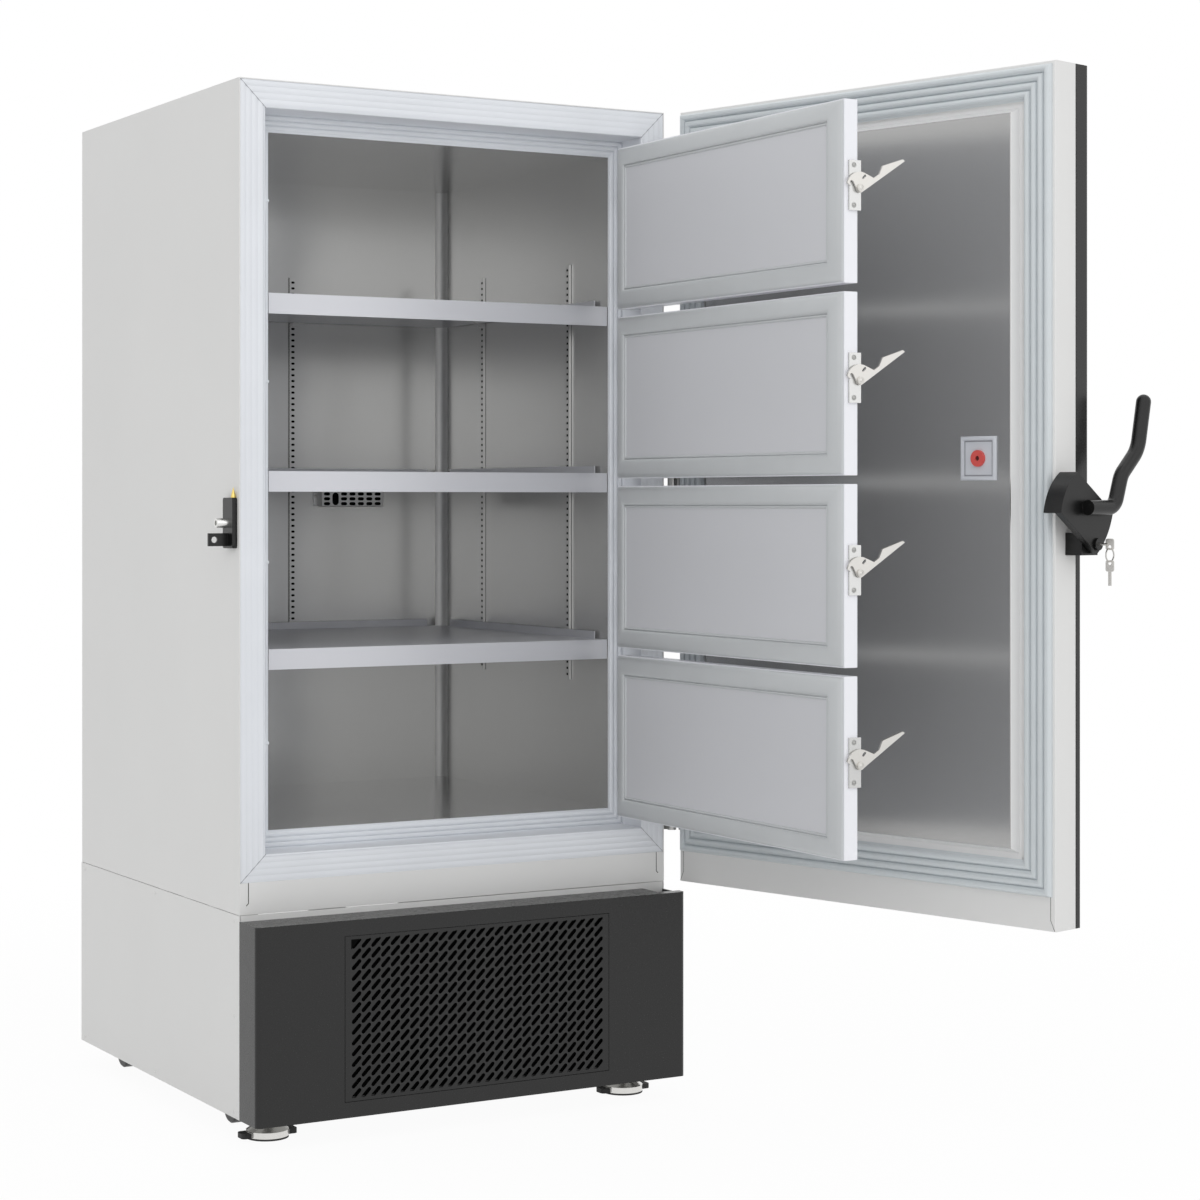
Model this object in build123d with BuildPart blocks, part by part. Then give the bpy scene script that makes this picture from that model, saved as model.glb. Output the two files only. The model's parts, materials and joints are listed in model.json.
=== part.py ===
"""Upright ultra low temperature freezer, standing with its outer door and four inner doors open.

Millimetres, +Z up, front towards -Y. The origin is on the floor under the middle of the cabinet.
"""
import os
from math import cos, radians, sin

from build123d import *

os.makedirs("parts", exist_ok=True)

# Cabinet
CAB_WIDTH = 920
CAB_DEPTH = 870
CAB_TOP = 1976
SEAM_Z = 425  # joint between the insulated cabinet and the machine compartment
SKIRT_Z = 46  # lower edge of the machine compartment
SHEET = 2
CASING_EDGE_R = 5
FRONT_STRIP = 57  # painted strip below the breaker frame

# Breaker frame: the insulating plastic frame round the opening
RING_FACE = 53
RECESS_DEPTH = 70
STEP_FACE = 35
BREAKER_WALL = 4
FLUTE_COUNT = 4
FLUTE_DEPTH = 1.5
FLUTE_SHARE = 0.5

# Stainless liner and its shelves
LINER_WALL = 1.5
BACK_INSULATION = 58  # behind the liner's back wall
LINER_CORNER_R = 22
PILASTER_WIDTH = 14
PILASTER_DEPTH = 5
PILASTER_BOTTOM_GAP = 252  # above the liner's floor
PILASTER_TOP_GAP = 206  # below its ceiling
PILASTER_FRONT_Y = 231
PILASTER_REAR_GAP = 199  # rear side strips from the liner's back wall
CLIP_REACH = 16
CLIP_HEIGHT = 10
SHELF_SHEET = 2
SHELF_BAND = 39
SHELF_BAND_GAP = 2  # between the shelf's front band and the breaker frame's opening, each side
SHELF_SETBACK = 4  # front band behind the breaker frame
SHELF_SIDE_GAP = 1.5  # between a shelf and the pilasters
SHELF_BACK_GAP = 3
SHELF_FLANGE = 15
SHELF_FLANGE_INSET = 40
SENSOR_WIDTH = 167
SENSOR_HEIGHT = 45
SENSOR_DEPTH = 22
SENSOR_X = 136
SENSOR_DROP = 21.5  # below the middle shelf
SENSOR_SLOT = (14, 5)
SENSOR_SLOT_PITCH = (20, 11)
SENSOR_SLOT_GRID = (7, 3)

# Outer door, sizes as it stands closed
DOOR_THICK = 63
DOOR_SEAT = 12  # gap between the cabinet front and the door's inner face
DOOR_OPEN = 104.6
DOOR_AXIS_OUT = 16  # hinge axis beyond the cabinet side
DOOR_AXIS_FRONT = 5  # hinge axis before the cabinet front
GASKET_MARGIN = 6
GASKET_BAND = 58
GASKET_BOTTOM = 62  # gasket above the door's lower edge
GASKET_GAP = 0.3
GASKET_LOBES = 4
GASKET_GROOVE = 4  # width and depth of the grooves between the lobes
PLUG_FLANGE = 14
PLUG_HEIGHT = 16
PLUG_TAPER = 30
COVER_THICK = 16
CONSOLE_THICK = 38
COVER_WALL = 3
COVER_EDGE_R = 6
CONSOLE_BOTTOM = 1130
CONSOLE_SLOPE = 110
DISPLAY_WIDTH = 180
DISPLAY_HEIGHT = 120
DISPLAY_THICK = 2
DISPLAY_DROP = 416  # display's middle below the cabinet top
VENT_SIZE = 80
VENT_RECESS = 65
VENT_FRAME = 5
VENT_BASE = 1.5
VENT_INSET = 156  # vent port from the door's free edge
VENT_Z = 1269
VENT_PLUG_R = 15
VENT_HOLE_R = 4.5
VENT_PLUG_THICK = 5

# Outer hinges
HINGE_HEIGHT = 110
HINGE_BOTTOM_INSET = 158  # lowest hinge's middle above the door's lower edge
HINGE_TOP_INSET = 118  # highest hinge's middle below the cabinet top
HINGE_PLATE = 4
HINGE_LEAF = 46
HINGE_KNUCKLE_R = 9
HINGE_PIN_R = 4
HINGE_SET = 14  # leaf edge from the plane of the door seal
RUN_CLEAR = 0.05  # radial clearance of a pin in its bore
END_CLEAR = 0.4  # end clearance between knuckles and between turning pieces

# Handle on the door's free edge: along the door's thickness from its inner face, and up
PIVOT_OUT = 57
PIVOT_Z = 1115
BRACKET_FROM = 30
BRACKET_TO = 79
BRACKET_Z = 1095
BRACKET_HEIGHT = 40
BRACKET_REACH = 35
STUD_R = 8
STUD_HEAD_R = 11
STUD_HEAD = 4
CAM_GAP = 1
CAM_PLATE = 14
HOOD_FROM = 12  # hood clear of the striker block
HOOD_WALL = 6
HOOD_TIP = (-52, 1171)
HOOD_CROWN = (-36, 1212)
HOOD_TOP = (-3, 1243)
CAM_RIGHT = (105, 1171)
CAM_SIDE = (86, 1129)
CAM_BOTTOM = (57, 1098)
GRIP_R = 13.5
GRIP_PATH = ((12, 1180), (92, 1180), (113, 1238), (165, 1284), (184, 1371))
GRIP_BENDS = (26, 40, 60)
GRIP_SINK = 2  # grip into the cam plate it is cast with
KEY_SHANK_R = 2.4
KEY_DEPTH = 12
KEY_SHANK = 22
KEY_BOW = (17, 20)
KEY_BOW_R = 4
KEY_THICK = 2.2
KEY_HOLE_R = 3.6
KEY_RING_R = 12
KEY_WIRE_R = 1  # half the ring's flat wire
SPARE_BLADE = 6
SPARE_LENGTH = 30

# Striker on the cabinet's left side
STRIKER_THICK = 10
STRIKER_FRONT = 10
STRIKER_DEPTH = 46
STRIKER_BOTTOM = 1104
STRIKER_HEIGHT = 94
STRIKER_EDGE_R = 5
STRIKER_PIN_R = 9
STRIKER_PIN_REACH = 34
STRIKER_PIN_Y = 31
STRIKER_PIN_Z = 1151
STRIKER_SOCKET = 5
STUD_Y = 17  # pointed stud on top of the striker block
STUD_BASE_R = 4.8
STUD_COLLAR = 2
STUD_RISE = 20
EYE_REACH = 48
EYE_BOTTOM = 1108
EYE_HEIGHT = 24
EYE_THICK = 5
EYE_Y = 32
EYE_BORE_R = 6

# Inner doors, sizes as they stand closed
INNER_COUNT = 4
INNER_OPEN = 90
INNER_HINGE_GAP = 20.5
INNER_LATCH_GAP = 16
INNER_END_GAP = 27.5
INNER_SPACE = 15
INNER_FRONT = 27  # slab's front face behind the cabinet front
INNER_THICK = 30
INNER_EDGE_R = 4
INNER_AXIS_IN = 7  # hinge axis from the recess wall
INNER_AXIS_BACK = 6
INNER_GASKET_BAND = 36
INNER_GASKET_INSET = 2
INNER_GASKET_GAP = 0.5
INNER_GASKET_SLOPE = 65  # of the seal's outer side
INNER_HINGE_HEIGHT = 50
INNER_HINGE_INSET = 45
INNER_KNUCKLE_R = 5
INNER_PIN_R = 2.5
INNER_BRACKET = 2
INNER_BRACKET_DEPTH = 36
INNER_LEAF = 60
INNER_LEAF_THICK = 2.5

# Latches on the inner doors' free edges
LATCH_PLATE_HEIGHT = 88
LATCH_PLATE_WIDTH = 25
LATCH_PLATE_THICK = 4
LATCH_PLATE_RISE = 10
LATCH_PLATE_PROUD = 3  # before the slab's front face
LATCH_PIVOT_BACK = 2
LATCH_PIVOT_RISE = 5
LATCH_STUD_R = 4
LATCH_HEAD_R = 7
LATCH_HEAD = 2
LEVER_THICK = 4
LEVER_GAP = 1
LEVER_ANGLE = 30  # palm above level, standing open
LEVER_SWING = 120  # from there to latched
LEVER_LENGTH = 110
LEVER_HUB_R = 8
LEVER_TIP = (-2.3, 2.4)
LEVER_FLAG = (62.6, 11.9)  # widest corner of the palm
LEVER_NECK = (48.5, 2.2)
LEVER_NOTCH = (35.2, 1.5)
CAM_CORNER = (22, 18)
CAM_R = 28.5
CAM_END = 134  # angle at which the cam ends in the hook's tip
EYELET = (17, 13)
EYELET_SIZE = (10, 4.5)
EYELET_TILT = 15
HOOK_AT = (-12, 16)
HOOK_IN_R = 4.6
KEEPER_R = 3
KEEPER_CLEAR = 1.5  # pin's end from the latch plate, closed
KEEPER_PLATE = 2
KEEPER_PLATE_SIZE = (20, 36)

# Machine compartment
PAN_Z = 100
PAN_SHEET = 4
POST_SIZE = 36
POST_WALL = 3
PANEL_GAP = 1  # dark seam above the side panels
FASCIA_DEPTH = 82
FASCIA_TOP = 413
FASCIA_WALL = 4
FASCIA_EDGE_R = 10
NOTCH_WIDTH = 50
NOTCH_LIP = 24
GRILLE_WIDTH = 568
GRILLE_BOTTOM = 75
GRILLE_HEIGHT = 309
GRILLE_GAP = 1
RIM_FACE = 9
RIM_THICK = 3
SLOT_LENGTH = 26
SLOT_WIDTH = 7
SLOT_PITCH = 20
SLOT_MARGIN_X = 22  # from the grille's edge to the middle of the nearest slots
SLOT_MARGIN_Z = 14
SLOT_BORDER_X = 12  # plain border that cuts the outer slots off square
SLOT_BORDER_Z = 6
SLOT_TILT = 45
RAIL_HEIGHT = 28  # painted rail above the front moulding
FILTER_THICK = 8
COIL_DEPTH = 50
COIL_SIDE_GAP = 174
COIL_GAP = 6
SHROUD_DEPTH = 20
SHROUD_R = 125
FAN_R = 118
FAN_HUB_R = 26
FAN_HUB_LENGTH = 24
FAN_BLADES = 5
FAN_BLADE_THICK = 3
FAN_PITCH = 32
MOTOR_R = 42
MOTOR_LENGTH = 70
MOTOR_SHAFT_R = 5
MOTOR_STAND = 30
COMPRESSOR_R = 85
COMPRESSOR_HEIGHT = 210
COMPRESSOR_DOME = 45
COMPRESSOR_X = 190
COMPRESSOR_BACK = 305  # compressors' middle from the back
COMPRESSOR_FOOT = (210, 120, 8)
LOUVRE_WIDTH = 130
LOUVRE_HEIGHT = 9
LOUVRE_PITCH = (220, 24)
LOUVRE_GRID = (3, 8)
LOUVRE_Z = 270
INLET_SIZE = (58, 40)
INLET_DEPTH = 30
INLET_INSET = 130  # inlet's middle from the cabinet's left side
INLET_Z = 150
INLET_WALL = 4

# Casters and levelling feet
CASTER_INSET = 66  # kingpins from the cabinet's sides
CASTER_FRONT = 162
CASTER_REAR_INSET = 118
CASTER_PLATE = 80
CASTER_PLATE_THICK = 5
KINGPIN_R = 6
SWIVEL_R = 24
SWIVEL_THICK = 6
WHEEL_R = 32
WHEEL_WIDTH = 24
WHEEL_EDGE = 3
WHEEL_TRAIL = 18
WHEEL_GAP = 1.5
FORK_THICK = 3
AXLE_R = 4
FOOT_INSET = 73
FOOT_Y = 40
FOOT_PAD_R = 40
FOOT_PAD = 15
FOOT_CONE_TOP = 32
FOOT_NECK_R = 14
FOOT_NECK_TOP = 62
FOOT_STEM_R = 8
FOOT_STEM_RISE = 14
FOOT_WING_LENGTH = 112
FOOT_WING_WIDTH = 30
FOOT_WING_R = 8
FOOT_WING_BASE = 3.5
FOOT_WING_THICK = 9.5

# Places worked out from the sizes above
front_y = -CAB_DEPTH / 2
back_y = CAB_DEPTH / 2
left_x = -CAB_WIDTH / 2
right_x = CAB_WIDTH / 2
frame_bottom = SEAM_Z + FRONT_STRIP
frame_mid = (frame_bottom + CAB_TOP) / 2
frame_height = CAB_TOP - frame_bottom
ring_width = CAB_WIDTH - 2 * SHEET
ring_height = frame_height - 2 * SHEET
recess_width = CAB_WIDTH - 2 * RING_FACE
recess_height = frame_height - 2 * RING_FACE
mouth_width = recess_width - 2 * STEP_FACE
mouth_height = recess_height - 2 * STEP_FACE
breaker_back = RECESS_DEPTH + BREAKER_WALL
cabinet_height = CAB_TOP - SEAM_Z
liner_floor = frame_mid - mouth_height / 2
liner_front = front_y + breaker_back
liner_back = back_y - BACK_INSULATION
liner_depth = liner_back - liner_front


def front_plane(y):
    """Upright plane at depth y, drawn as seen from the front, with its normal towards -Y."""
    return Plane.XZ.offset(-y)


def rear_plane(y):
    """Upright plane at depth y, drawn as seen from the rear, with its normal towards +Y."""
    return Plane(origin=(0, y, 0), x_dir=(-1, 0, 0), z_dir=(0, 1, 0))


def turned_frame(x, y, angle):
    """Frame on the floor at a hinge axis, turned by the angle at which its door stands open."""
    return Plane(origin=(x, y, 0), x_dir=(cos(radians(angle)), sin(radians(angle)), 0), z_dir=(0, 0, 1))


def placed(frame, plane):
    """A plane given in a door's own frame, where that door stands."""
    return Plane(frame.location * plane.location)


def save(builder, name):
    """Label a finished piece and write its STEP file."""
    builder.part.label = name
    export_step(builder.part, f"parts/{name}.step")


# Insulated cabinet

with BuildPart() as upper_casing:
    with BuildSketch(Plane.XY.offset(SEAM_Z)):
        Rectangle(CAB_WIDTH, CAB_DEPTH)
    extrude(amount=cabinet_height)
    fillet(upper_casing.edges().filter_by(Axis.Z).group_by(Axis.Y)[-1], CASING_EDGE_R)
    offset(amount=-SHEET, openings=upper_casing.faces().sort_by(Axis.Y)[0])
    with BuildSketch(front_plane(front_y)):
        with Locations((0, SEAM_Z + (FRONT_STRIP + SHEET) / 2)):
            Rectangle(CAB_WIDTH, FRONT_STRIP + SHEET)
    extrude(amount=-SHEET)
save(upper_casing, "upper_casing")

with BuildPart() as breaker_frame:
    with BuildSketch(front_plane(front_y)):
        with Locations((0, frame_mid)):
            Rectangle(ring_width, ring_height)
            Rectangle(recess_width, recess_height, mode=Mode.SUBTRACT)
    extrude(amount=-BREAKER_WALL)
    with BuildSketch(front_plane(front_y)):
        with Locations((0, frame_mid)):
            Rectangle(recess_width + 2 * BREAKER_WALL, recess_height + 2 * BREAKER_WALL)
            Rectangle(recess_width, recess_height, mode=Mode.SUBTRACT)
    extrude(amount=-breaker_back)
    with BuildSketch(front_plane(front_y + RECESS_DEPTH)):
        with Locations((0, frame_mid)):
            Rectangle(recess_width + 2 * BREAKER_WALL, recess_height + 2 * BREAKER_WALL)
            Rectangle(mouth_width, mouth_height, mode=Mode.SUBTRACT)
    extrude(amount=-BREAKER_WALL)
    # Flutes run round the ring's face
    flute_pitch = (RING_FACE - SHEET) / FLUTE_COUNT
    for flute in range(FLUTE_COUNT):
        inset = 2 * (SHEET + (flute + (1 - FLUTE_SHARE) / 2) * flute_pitch)
        groove = 2 * FLUTE_SHARE * flute_pitch
        with BuildSketch(front_plane(front_y)):
            with Locations((0, frame_mid)):
                Rectangle(CAB_WIDTH - inset, frame_height - inset)
                Rectangle(CAB_WIDTH - inset - groove, frame_height - inset - groove, mode=Mode.SUBTRACT)
        extrude(amount=-FLUTE_DEPTH, mode=Mode.SUBTRACT)
save(breaker_frame, "breaker_frame")

with BuildPart() as inner_liner:
    with BuildSketch(Plane.XY.offset(liner_floor - LINER_WALL)):
        with Locations((0, liner_front)):
            Rectangle(
                mouth_width + 2 * LINER_WALL,
                liner_depth + LINER_WALL,
                align=(Align.CENTER, Align.MIN),
            )
    extrude(amount=mouth_height + 2 * LINER_WALL)
    fillet(inner_liner.edges().filter_by(Axis.Z).group_by(Axis.Y)[-1], LINER_CORNER_R)
    liner_block = inner_liner.part
    offset(amount=-LINER_WALL, openings=inner_liner.faces().sort_by(Axis.Y)[0])
save(inner_liner, "inner_liner")

with BuildPart() as cabinet_foam:
    with BuildSketch(Plane.XY.offset(SEAM_Z + SHEET)):
        with Locations((0, front_y + BREAKER_WALL)):
            Rectangle(
                CAB_WIDTH - 2 * SHEET,
                CAB_DEPTH - BREAKER_WALL - SHEET,
                align=(Align.CENTER, Align.MIN),
            )
    extrude(amount=cabinet_height - 2 * SHEET)
    fillet(cabinet_foam.edges().filter_by(Axis.Z).group_by(Axis.Y)[-1], CASING_EDGE_R - SHEET)
    with BuildSketch(front_plane(front_y)):
        with Locations((0, frame_mid)):
            Rectangle(recess_width + 2 * BREAKER_WALL, recess_height + 2 * BREAKER_WALL)
    extrude(amount=-breaker_back, mode=Mode.SUBTRACT)
    add(liner_block, mode=Mode.SUBTRACT)
save(cabinet_foam, "cabinet_foam")

# Inner door heights, from the top down
inner_width = recess_width - INNER_HINGE_GAP - INNER_LATCH_GAP
inner_height = (recess_height - 2 * INNER_END_GAP - (INNER_COUNT - 1) * INNER_SPACE) / INNER_COUNT
inner_top = frame_mid + recess_height / 2 - INNER_END_GAP
inner_mids = [inner_top - inner_height / 2 - i * (inner_height + INNER_SPACE) for i in range(INNER_COUNT)]
shelf_mids = [mid - (inner_height + INNER_SPACE) / 2 for mid in inner_mids[:-1]]
shelf_undersides = [mid + SHELF_BAND / 2 - SHELF_SHEET for mid in shelf_mids]

# Pilasters on the liner's walls: wall point and the direction they stand out of it
pilaster_seats = [
    Plane(origin=(side * mouth_width / 2, y, 0), x_dir=(-side, 0, 0), z_dir=(0, 0, 1))
    for side in (-1, 1)
    for y in (front_y + PILASTER_FRONT_Y, liner_back - PILASTER_REAR_GAP)
]
pilaster_seats.append(Plane(origin=(0, liner_back, 0), x_dir=(0, -1, 0), z_dir=(0, 0, 1)))
with BuildPart() as pilasters:
    for seat in pilaster_seats:
        with BuildSketch(seat.offset(liner_floor + PILASTER_BOTTOM_GAP)):
            Rectangle(PILASTER_DEPTH, PILASTER_WIDTH, align=(Align.MIN, Align.CENTER))
        extrude(amount=mouth_height - PILASTER_BOTTOM_GAP - PILASTER_TOP_GAP)
        # Shelf clips hook into the pilaster below each shelf
        for underside in shelf_undersides:
            with BuildSketch(seat.offset(underside)):
                Rectangle(PILASTER_DEPTH + CLIP_REACH, PILASTER_WIDTH, align=(Align.MIN, Align.CENTER))
            extrude(amount=-CLIP_HEIGHT)
save(pilasters, "pilasters")

shelf_width = mouth_width - 2 * (PILASTER_DEPTH + SHELF_SIDE_GAP)
shelf_front = liner_front + SHELF_SETBACK - BREAKER_WALL
shelf_back = liner_back - PILASTER_DEPTH - SHELF_BACK_GAP
shelf_depth = shelf_back - shelf_front


def make_shelf(underside):
    """Shelf plate with a tall front band and low upturned flanges that stop short of the corners."""
    with BuildPart() as shelf:
        with BuildSketch(Plane.XY.offset(underside)):
            with Locations((0, shelf_front)):
                Rectangle(shelf_width, shelf_depth, align=(Align.CENTER, Align.MIN))
        extrude(amount=SHELF_SHEET)
        with BuildSketch(front_plane(shelf_front)):
            with Locations((0, underside + SHELF_SHEET)):
                Rectangle(
                    mouth_width - 2 * SHELF_BAND_GAP,
                    SHELF_BAND,
                    align=(Align.CENTER, Align.MAX),
                )
        extrude(amount=-SHELF_SHEET)
        flange_run = shelf_width - 2 * SHELF_FLANGE_INSET
        with BuildSketch(front_plane(shelf_back - SHELF_SHEET)):
            with Locations((0, underside + SHELF_SHEET)):
                Rectangle(flange_run, SHELF_FLANGE, align=(Align.CENTER, Align.MIN))
        extrude(amount=-SHELF_SHEET)
        for side in (-1, 1):
            with BuildSketch(Plane.YZ.offset(side * (shelf_width / 2 - SHELF_SHEET))):
                with Locations((shelf_front + shelf_depth / 2, underside + SHELF_SHEET)):
                    Rectangle(
                        shelf_depth - 2 * SHELF_FLANGE_INSET,
                        SHELF_FLANGE,
                        align=(Align.CENTER, Align.MIN),
                    )
            extrude(amount=side * SHELF_SHEET)
    return shelf


shelves = Compound(label="shelves", children=[make_shelf(z).part for z in shelf_undersides])
export_step(shelves, "parts/shelves.step")

sensor_z = shelf_undersides[len(shelf_undersides) // 2] - SENSOR_DROP - SENSOR_HEIGHT / 2
with BuildPart() as sensor_cover:
    with BuildSketch(front_plane(liner_back)):
        with Locations((SENSOR_X, sensor_z)):
            Rectangle(SENSOR_WIDTH, SENSOR_HEIGHT)
    extrude(amount=SENSOR_DEPTH)
    offset(amount=-SHEET, openings=sensor_cover.faces().sort_by(Axis.Y)[-1])
    with BuildSketch(front_plane(liner_back - SENSOR_DEPTH)):
        with Locations((SENSOR_X, sensor_z)):
            with GridLocations(*SENSOR_SLOT_PITCH, *SENSOR_SLOT_GRID):
                Rectangle(*SENSOR_SLOT)
    extrude(amount=-SHEET, mode=Mode.SUBTRACT)
save(sensor_cover, "sensor_cover")

# Outer door, drawn closed in its hinge frame

door_frame = turned_frame(right_x + DOOR_AXIS_OUT, front_y - DOOR_AXIS_FRONT, DOOR_OPEN)
inward = Axis((0, 0, 0), door_frame.y_dir)
door_left = -DOOR_AXIS_OUT - CAB_WIDTH
door_mid = -DOOR_AXIS_OUT - CAB_WIDTH / 2
door_in = DOOR_AXIS_FRONT - DOOR_SEAT
door_out = door_in - DOOR_THICK
gasket_width = CAB_WIDTH - 2 * GASKET_MARGIN
gasket_height = cabinet_height - GASKET_MARGIN - GASKET_BOTTOM
gasket_mid = SEAM_Z + GASKET_BOTTOM + gasket_height / 2
gasket_thick = DOOR_SEAT - GASKET_GAP
window_width = gasket_width - 2 * GASKET_BAND
window_height = gasket_height - 2 * GASKET_BAND
plug_width = window_width - 2 * PLUG_FLANGE
plug_height = window_height - 2 * PLUG_FLANGE

with BuildPart() as door_shell:
    with BuildSketch(placed(door_frame, Plane.XY.offset(SEAM_Z))):
        with Locations((door_mid, door_in)):
            Rectangle(CAB_WIDTH, DOOR_THICK, align=(Align.CENTER, Align.MAX))
    extrude(amount=cabinet_height)
    with BuildSketch(placed(door_frame, Plane.XY.offset(SEAM_Z + SHEET))):
        with Locations((door_mid, door_in - SHEET)):
            Rectangle(CAB_WIDTH - 2 * SHEET, DOOR_THICK - 2 * SHEET, align=(Align.CENTER, Align.MAX))
    extrude(amount=cabinet_height - 2 * SHEET, mode=Mode.SUBTRACT)
    with BuildSketch(placed(door_frame, front_plane(door_in))):
        with Locations((door_mid, gasket_mid)):
            Rectangle(window_width, window_height)
    extrude(amount=SHEET, mode=Mode.SUBTRACT)
save(door_shell, "door_shell")

with BuildPart() as door_liner:
    with BuildSketch(placed(door_frame, front_plane(door_in))):
        with Locations((door_mid, gasket_mid)):
            Rectangle(window_width, window_height)
    extrude(amount=SHEET)
    with BuildSketch(placed(door_frame, rear_plane(door_in))):
        with Locations((-door_mid, gasket_mid)):
            Rectangle(plug_width, plug_height)
    extrude(amount=PLUG_HEIGHT, taper=PLUG_TAPER)
    with BuildSketch(placed(door_frame, rear_plane(door_in - SHEET))):
        with Locations((-door_mid, gasket_mid)):
            Rectangle(plug_width - 2 * SHEET, plug_height - 2 * SHEET)
    extrude(amount=PLUG_HEIGHT, taper=PLUG_TAPER, mode=Mode.SUBTRACT)
save(door_liner, "door_liner")

with BuildPart() as door_foam:
    with BuildSketch(placed(door_frame, Plane.XY.offset(SEAM_Z + SHEET))):
        with Locations((door_mid, door_in - SHEET)):
            Rectangle(CAB_WIDTH - 2 * SHEET, DOOR_THICK - 2 * SHEET, align=(Align.CENTER, Align.MAX))
    extrude(amount=cabinet_height - 2 * SHEET)
    with BuildSketch(placed(door_frame, rear_plane(door_in - SHEET))):
        with Locations((-door_mid, gasket_mid)):
            Rectangle(plug_width - 2 * SHEET, plug_height - 2 * SHEET)
    extrude(amount=PLUG_HEIGHT, taper=PLUG_TAPER)
save(door_foam, "door_foam")

with BuildPart() as door_gasket:
    with BuildSketch(placed(door_frame, rear_plane(door_in))):
        with Locations((-door_mid, gasket_mid)):
            Rectangle(gasket_width, gasket_height)
            Rectangle(window_width, window_height, mode=Mode.SUBTRACT)
    extrude(amount=gasket_thick)
    # Grooves between the seal's lobes
    for groove in range(1, GASKET_LOBES):
        inset = 2 * groove * GASKET_BAND / GASKET_LOBES - GASKET_GROOVE
        with BuildSketch(placed(door_frame, rear_plane(door_in + gasket_thick))):
            with Locations((-door_mid, gasket_mid)):
                Rectangle(gasket_width - inset, gasket_height - inset)
                Rectangle(
                    gasket_width - inset - 2 * GASKET_GROOVE,
                    gasket_height - inset - 2 * GASKET_GROOVE,
                    mode=Mode.SUBTRACT,
                )
        extrude(amount=-GASKET_GROOVE, mode=Mode.SUBTRACT)
save(door_gasket, "door_gasket")

with BuildPart() as door_cover:
    with BuildSketch(placed(door_frame, front_plane(door_out))):
        with Locations((door_mid, SEAM_Z)):
            Rectangle(CAB_WIDTH, CONSOLE_BOTTOM - SEAM_Z, align=(Align.CENTER, Align.MIN))
    extrude(amount=COVER_THICK)
    fillet(door_cover.edges().filter_by(Axis.Z).group_by(inward)[0], COVER_EDGE_R)
    offset(amount=-COVER_WALL, openings=door_cover.faces().sort_by(inward)[-1])
save(door_cover, "door_cover")

with BuildPart() as control_console:
    with BuildSketch(placed(door_frame, Plane.YZ.offset(door_left))):
        with BuildLine():
            Polyline(
                (door_out, CONSOLE_BOTTOM),
                (door_out - COVER_THICK, CONSOLE_BOTTOM),
                (door_out - CONSOLE_THICK, CONSOLE_BOTTOM + CONSOLE_SLOPE),
                (door_out - CONSOLE_THICK, CAB_TOP),
                (door_out, CAB_TOP),
                close=True,
            )
        make_face()
    extrude(amount=CAB_WIDTH)
    fillet(control_console.edges().filter_by(Axis.Z).group_by(inward)[0], COVER_EDGE_R)
    offset(amount=-COVER_WALL, openings=control_console.faces().sort_by(inward)[-1])
    with BuildSketch(placed(door_frame, front_plane(door_out - CONSOLE_THICK))):
        with Locations((door_mid, CAB_TOP - DISPLAY_DROP)):
            Rectangle(DISPLAY_WIDTH, DISPLAY_HEIGHT)
    extrude(amount=-DISPLAY_THICK, mode=Mode.SUBTRACT)
save(control_console, "control_console")

with BuildPart() as display_window:
    with BuildSketch(placed(door_frame, front_plane(door_out - CONSOLE_THICK))):
        with Locations((door_mid, CAB_TOP - DISPLAY_DROP)):
            Rectangle(DISPLAY_WIDTH, DISPLAY_HEIGHT)
    extrude(amount=-DISPLAY_THICK)
save(display_window, "display_window")

vent_x = door_left + VENT_INSET
plug_face = door_in + PLUG_HEIGHT
with BuildPart() as vent_port:
    with BuildSketch(placed(door_frame, rear_plane(plug_face))):
        with Locations((-vent_x, VENT_Z)):
            Rectangle(VENT_SIZE, VENT_SIZE)
    extrude(amount=VENT_FRAME)
    with BuildSketch(placed(door_frame, rear_plane(plug_face + VENT_BASE))):
        with Locations((-vent_x, VENT_Z)):
            Rectangle(VENT_RECESS, VENT_RECESS)
    extrude(amount=VENT_FRAME, mode=Mode.SUBTRACT)
save(vent_port, "vent_port")

with BuildPart() as vent_plug:
    with BuildSketch(placed(door_frame, rear_plane(plug_face + VENT_BASE))):
        with Locations((-vent_x, VENT_Z)):
            Circle(VENT_PLUG_R)
            Circle(VENT_HOLE_R, mode=Mode.SUBTRACT)
    extrude(amount=VENT_PLUG_THICK)
save(vent_plug, "vent_plug")

# Outer hinges: the cabinet leaf carries the pin, the door leaf turns on its middle knuckle

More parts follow.
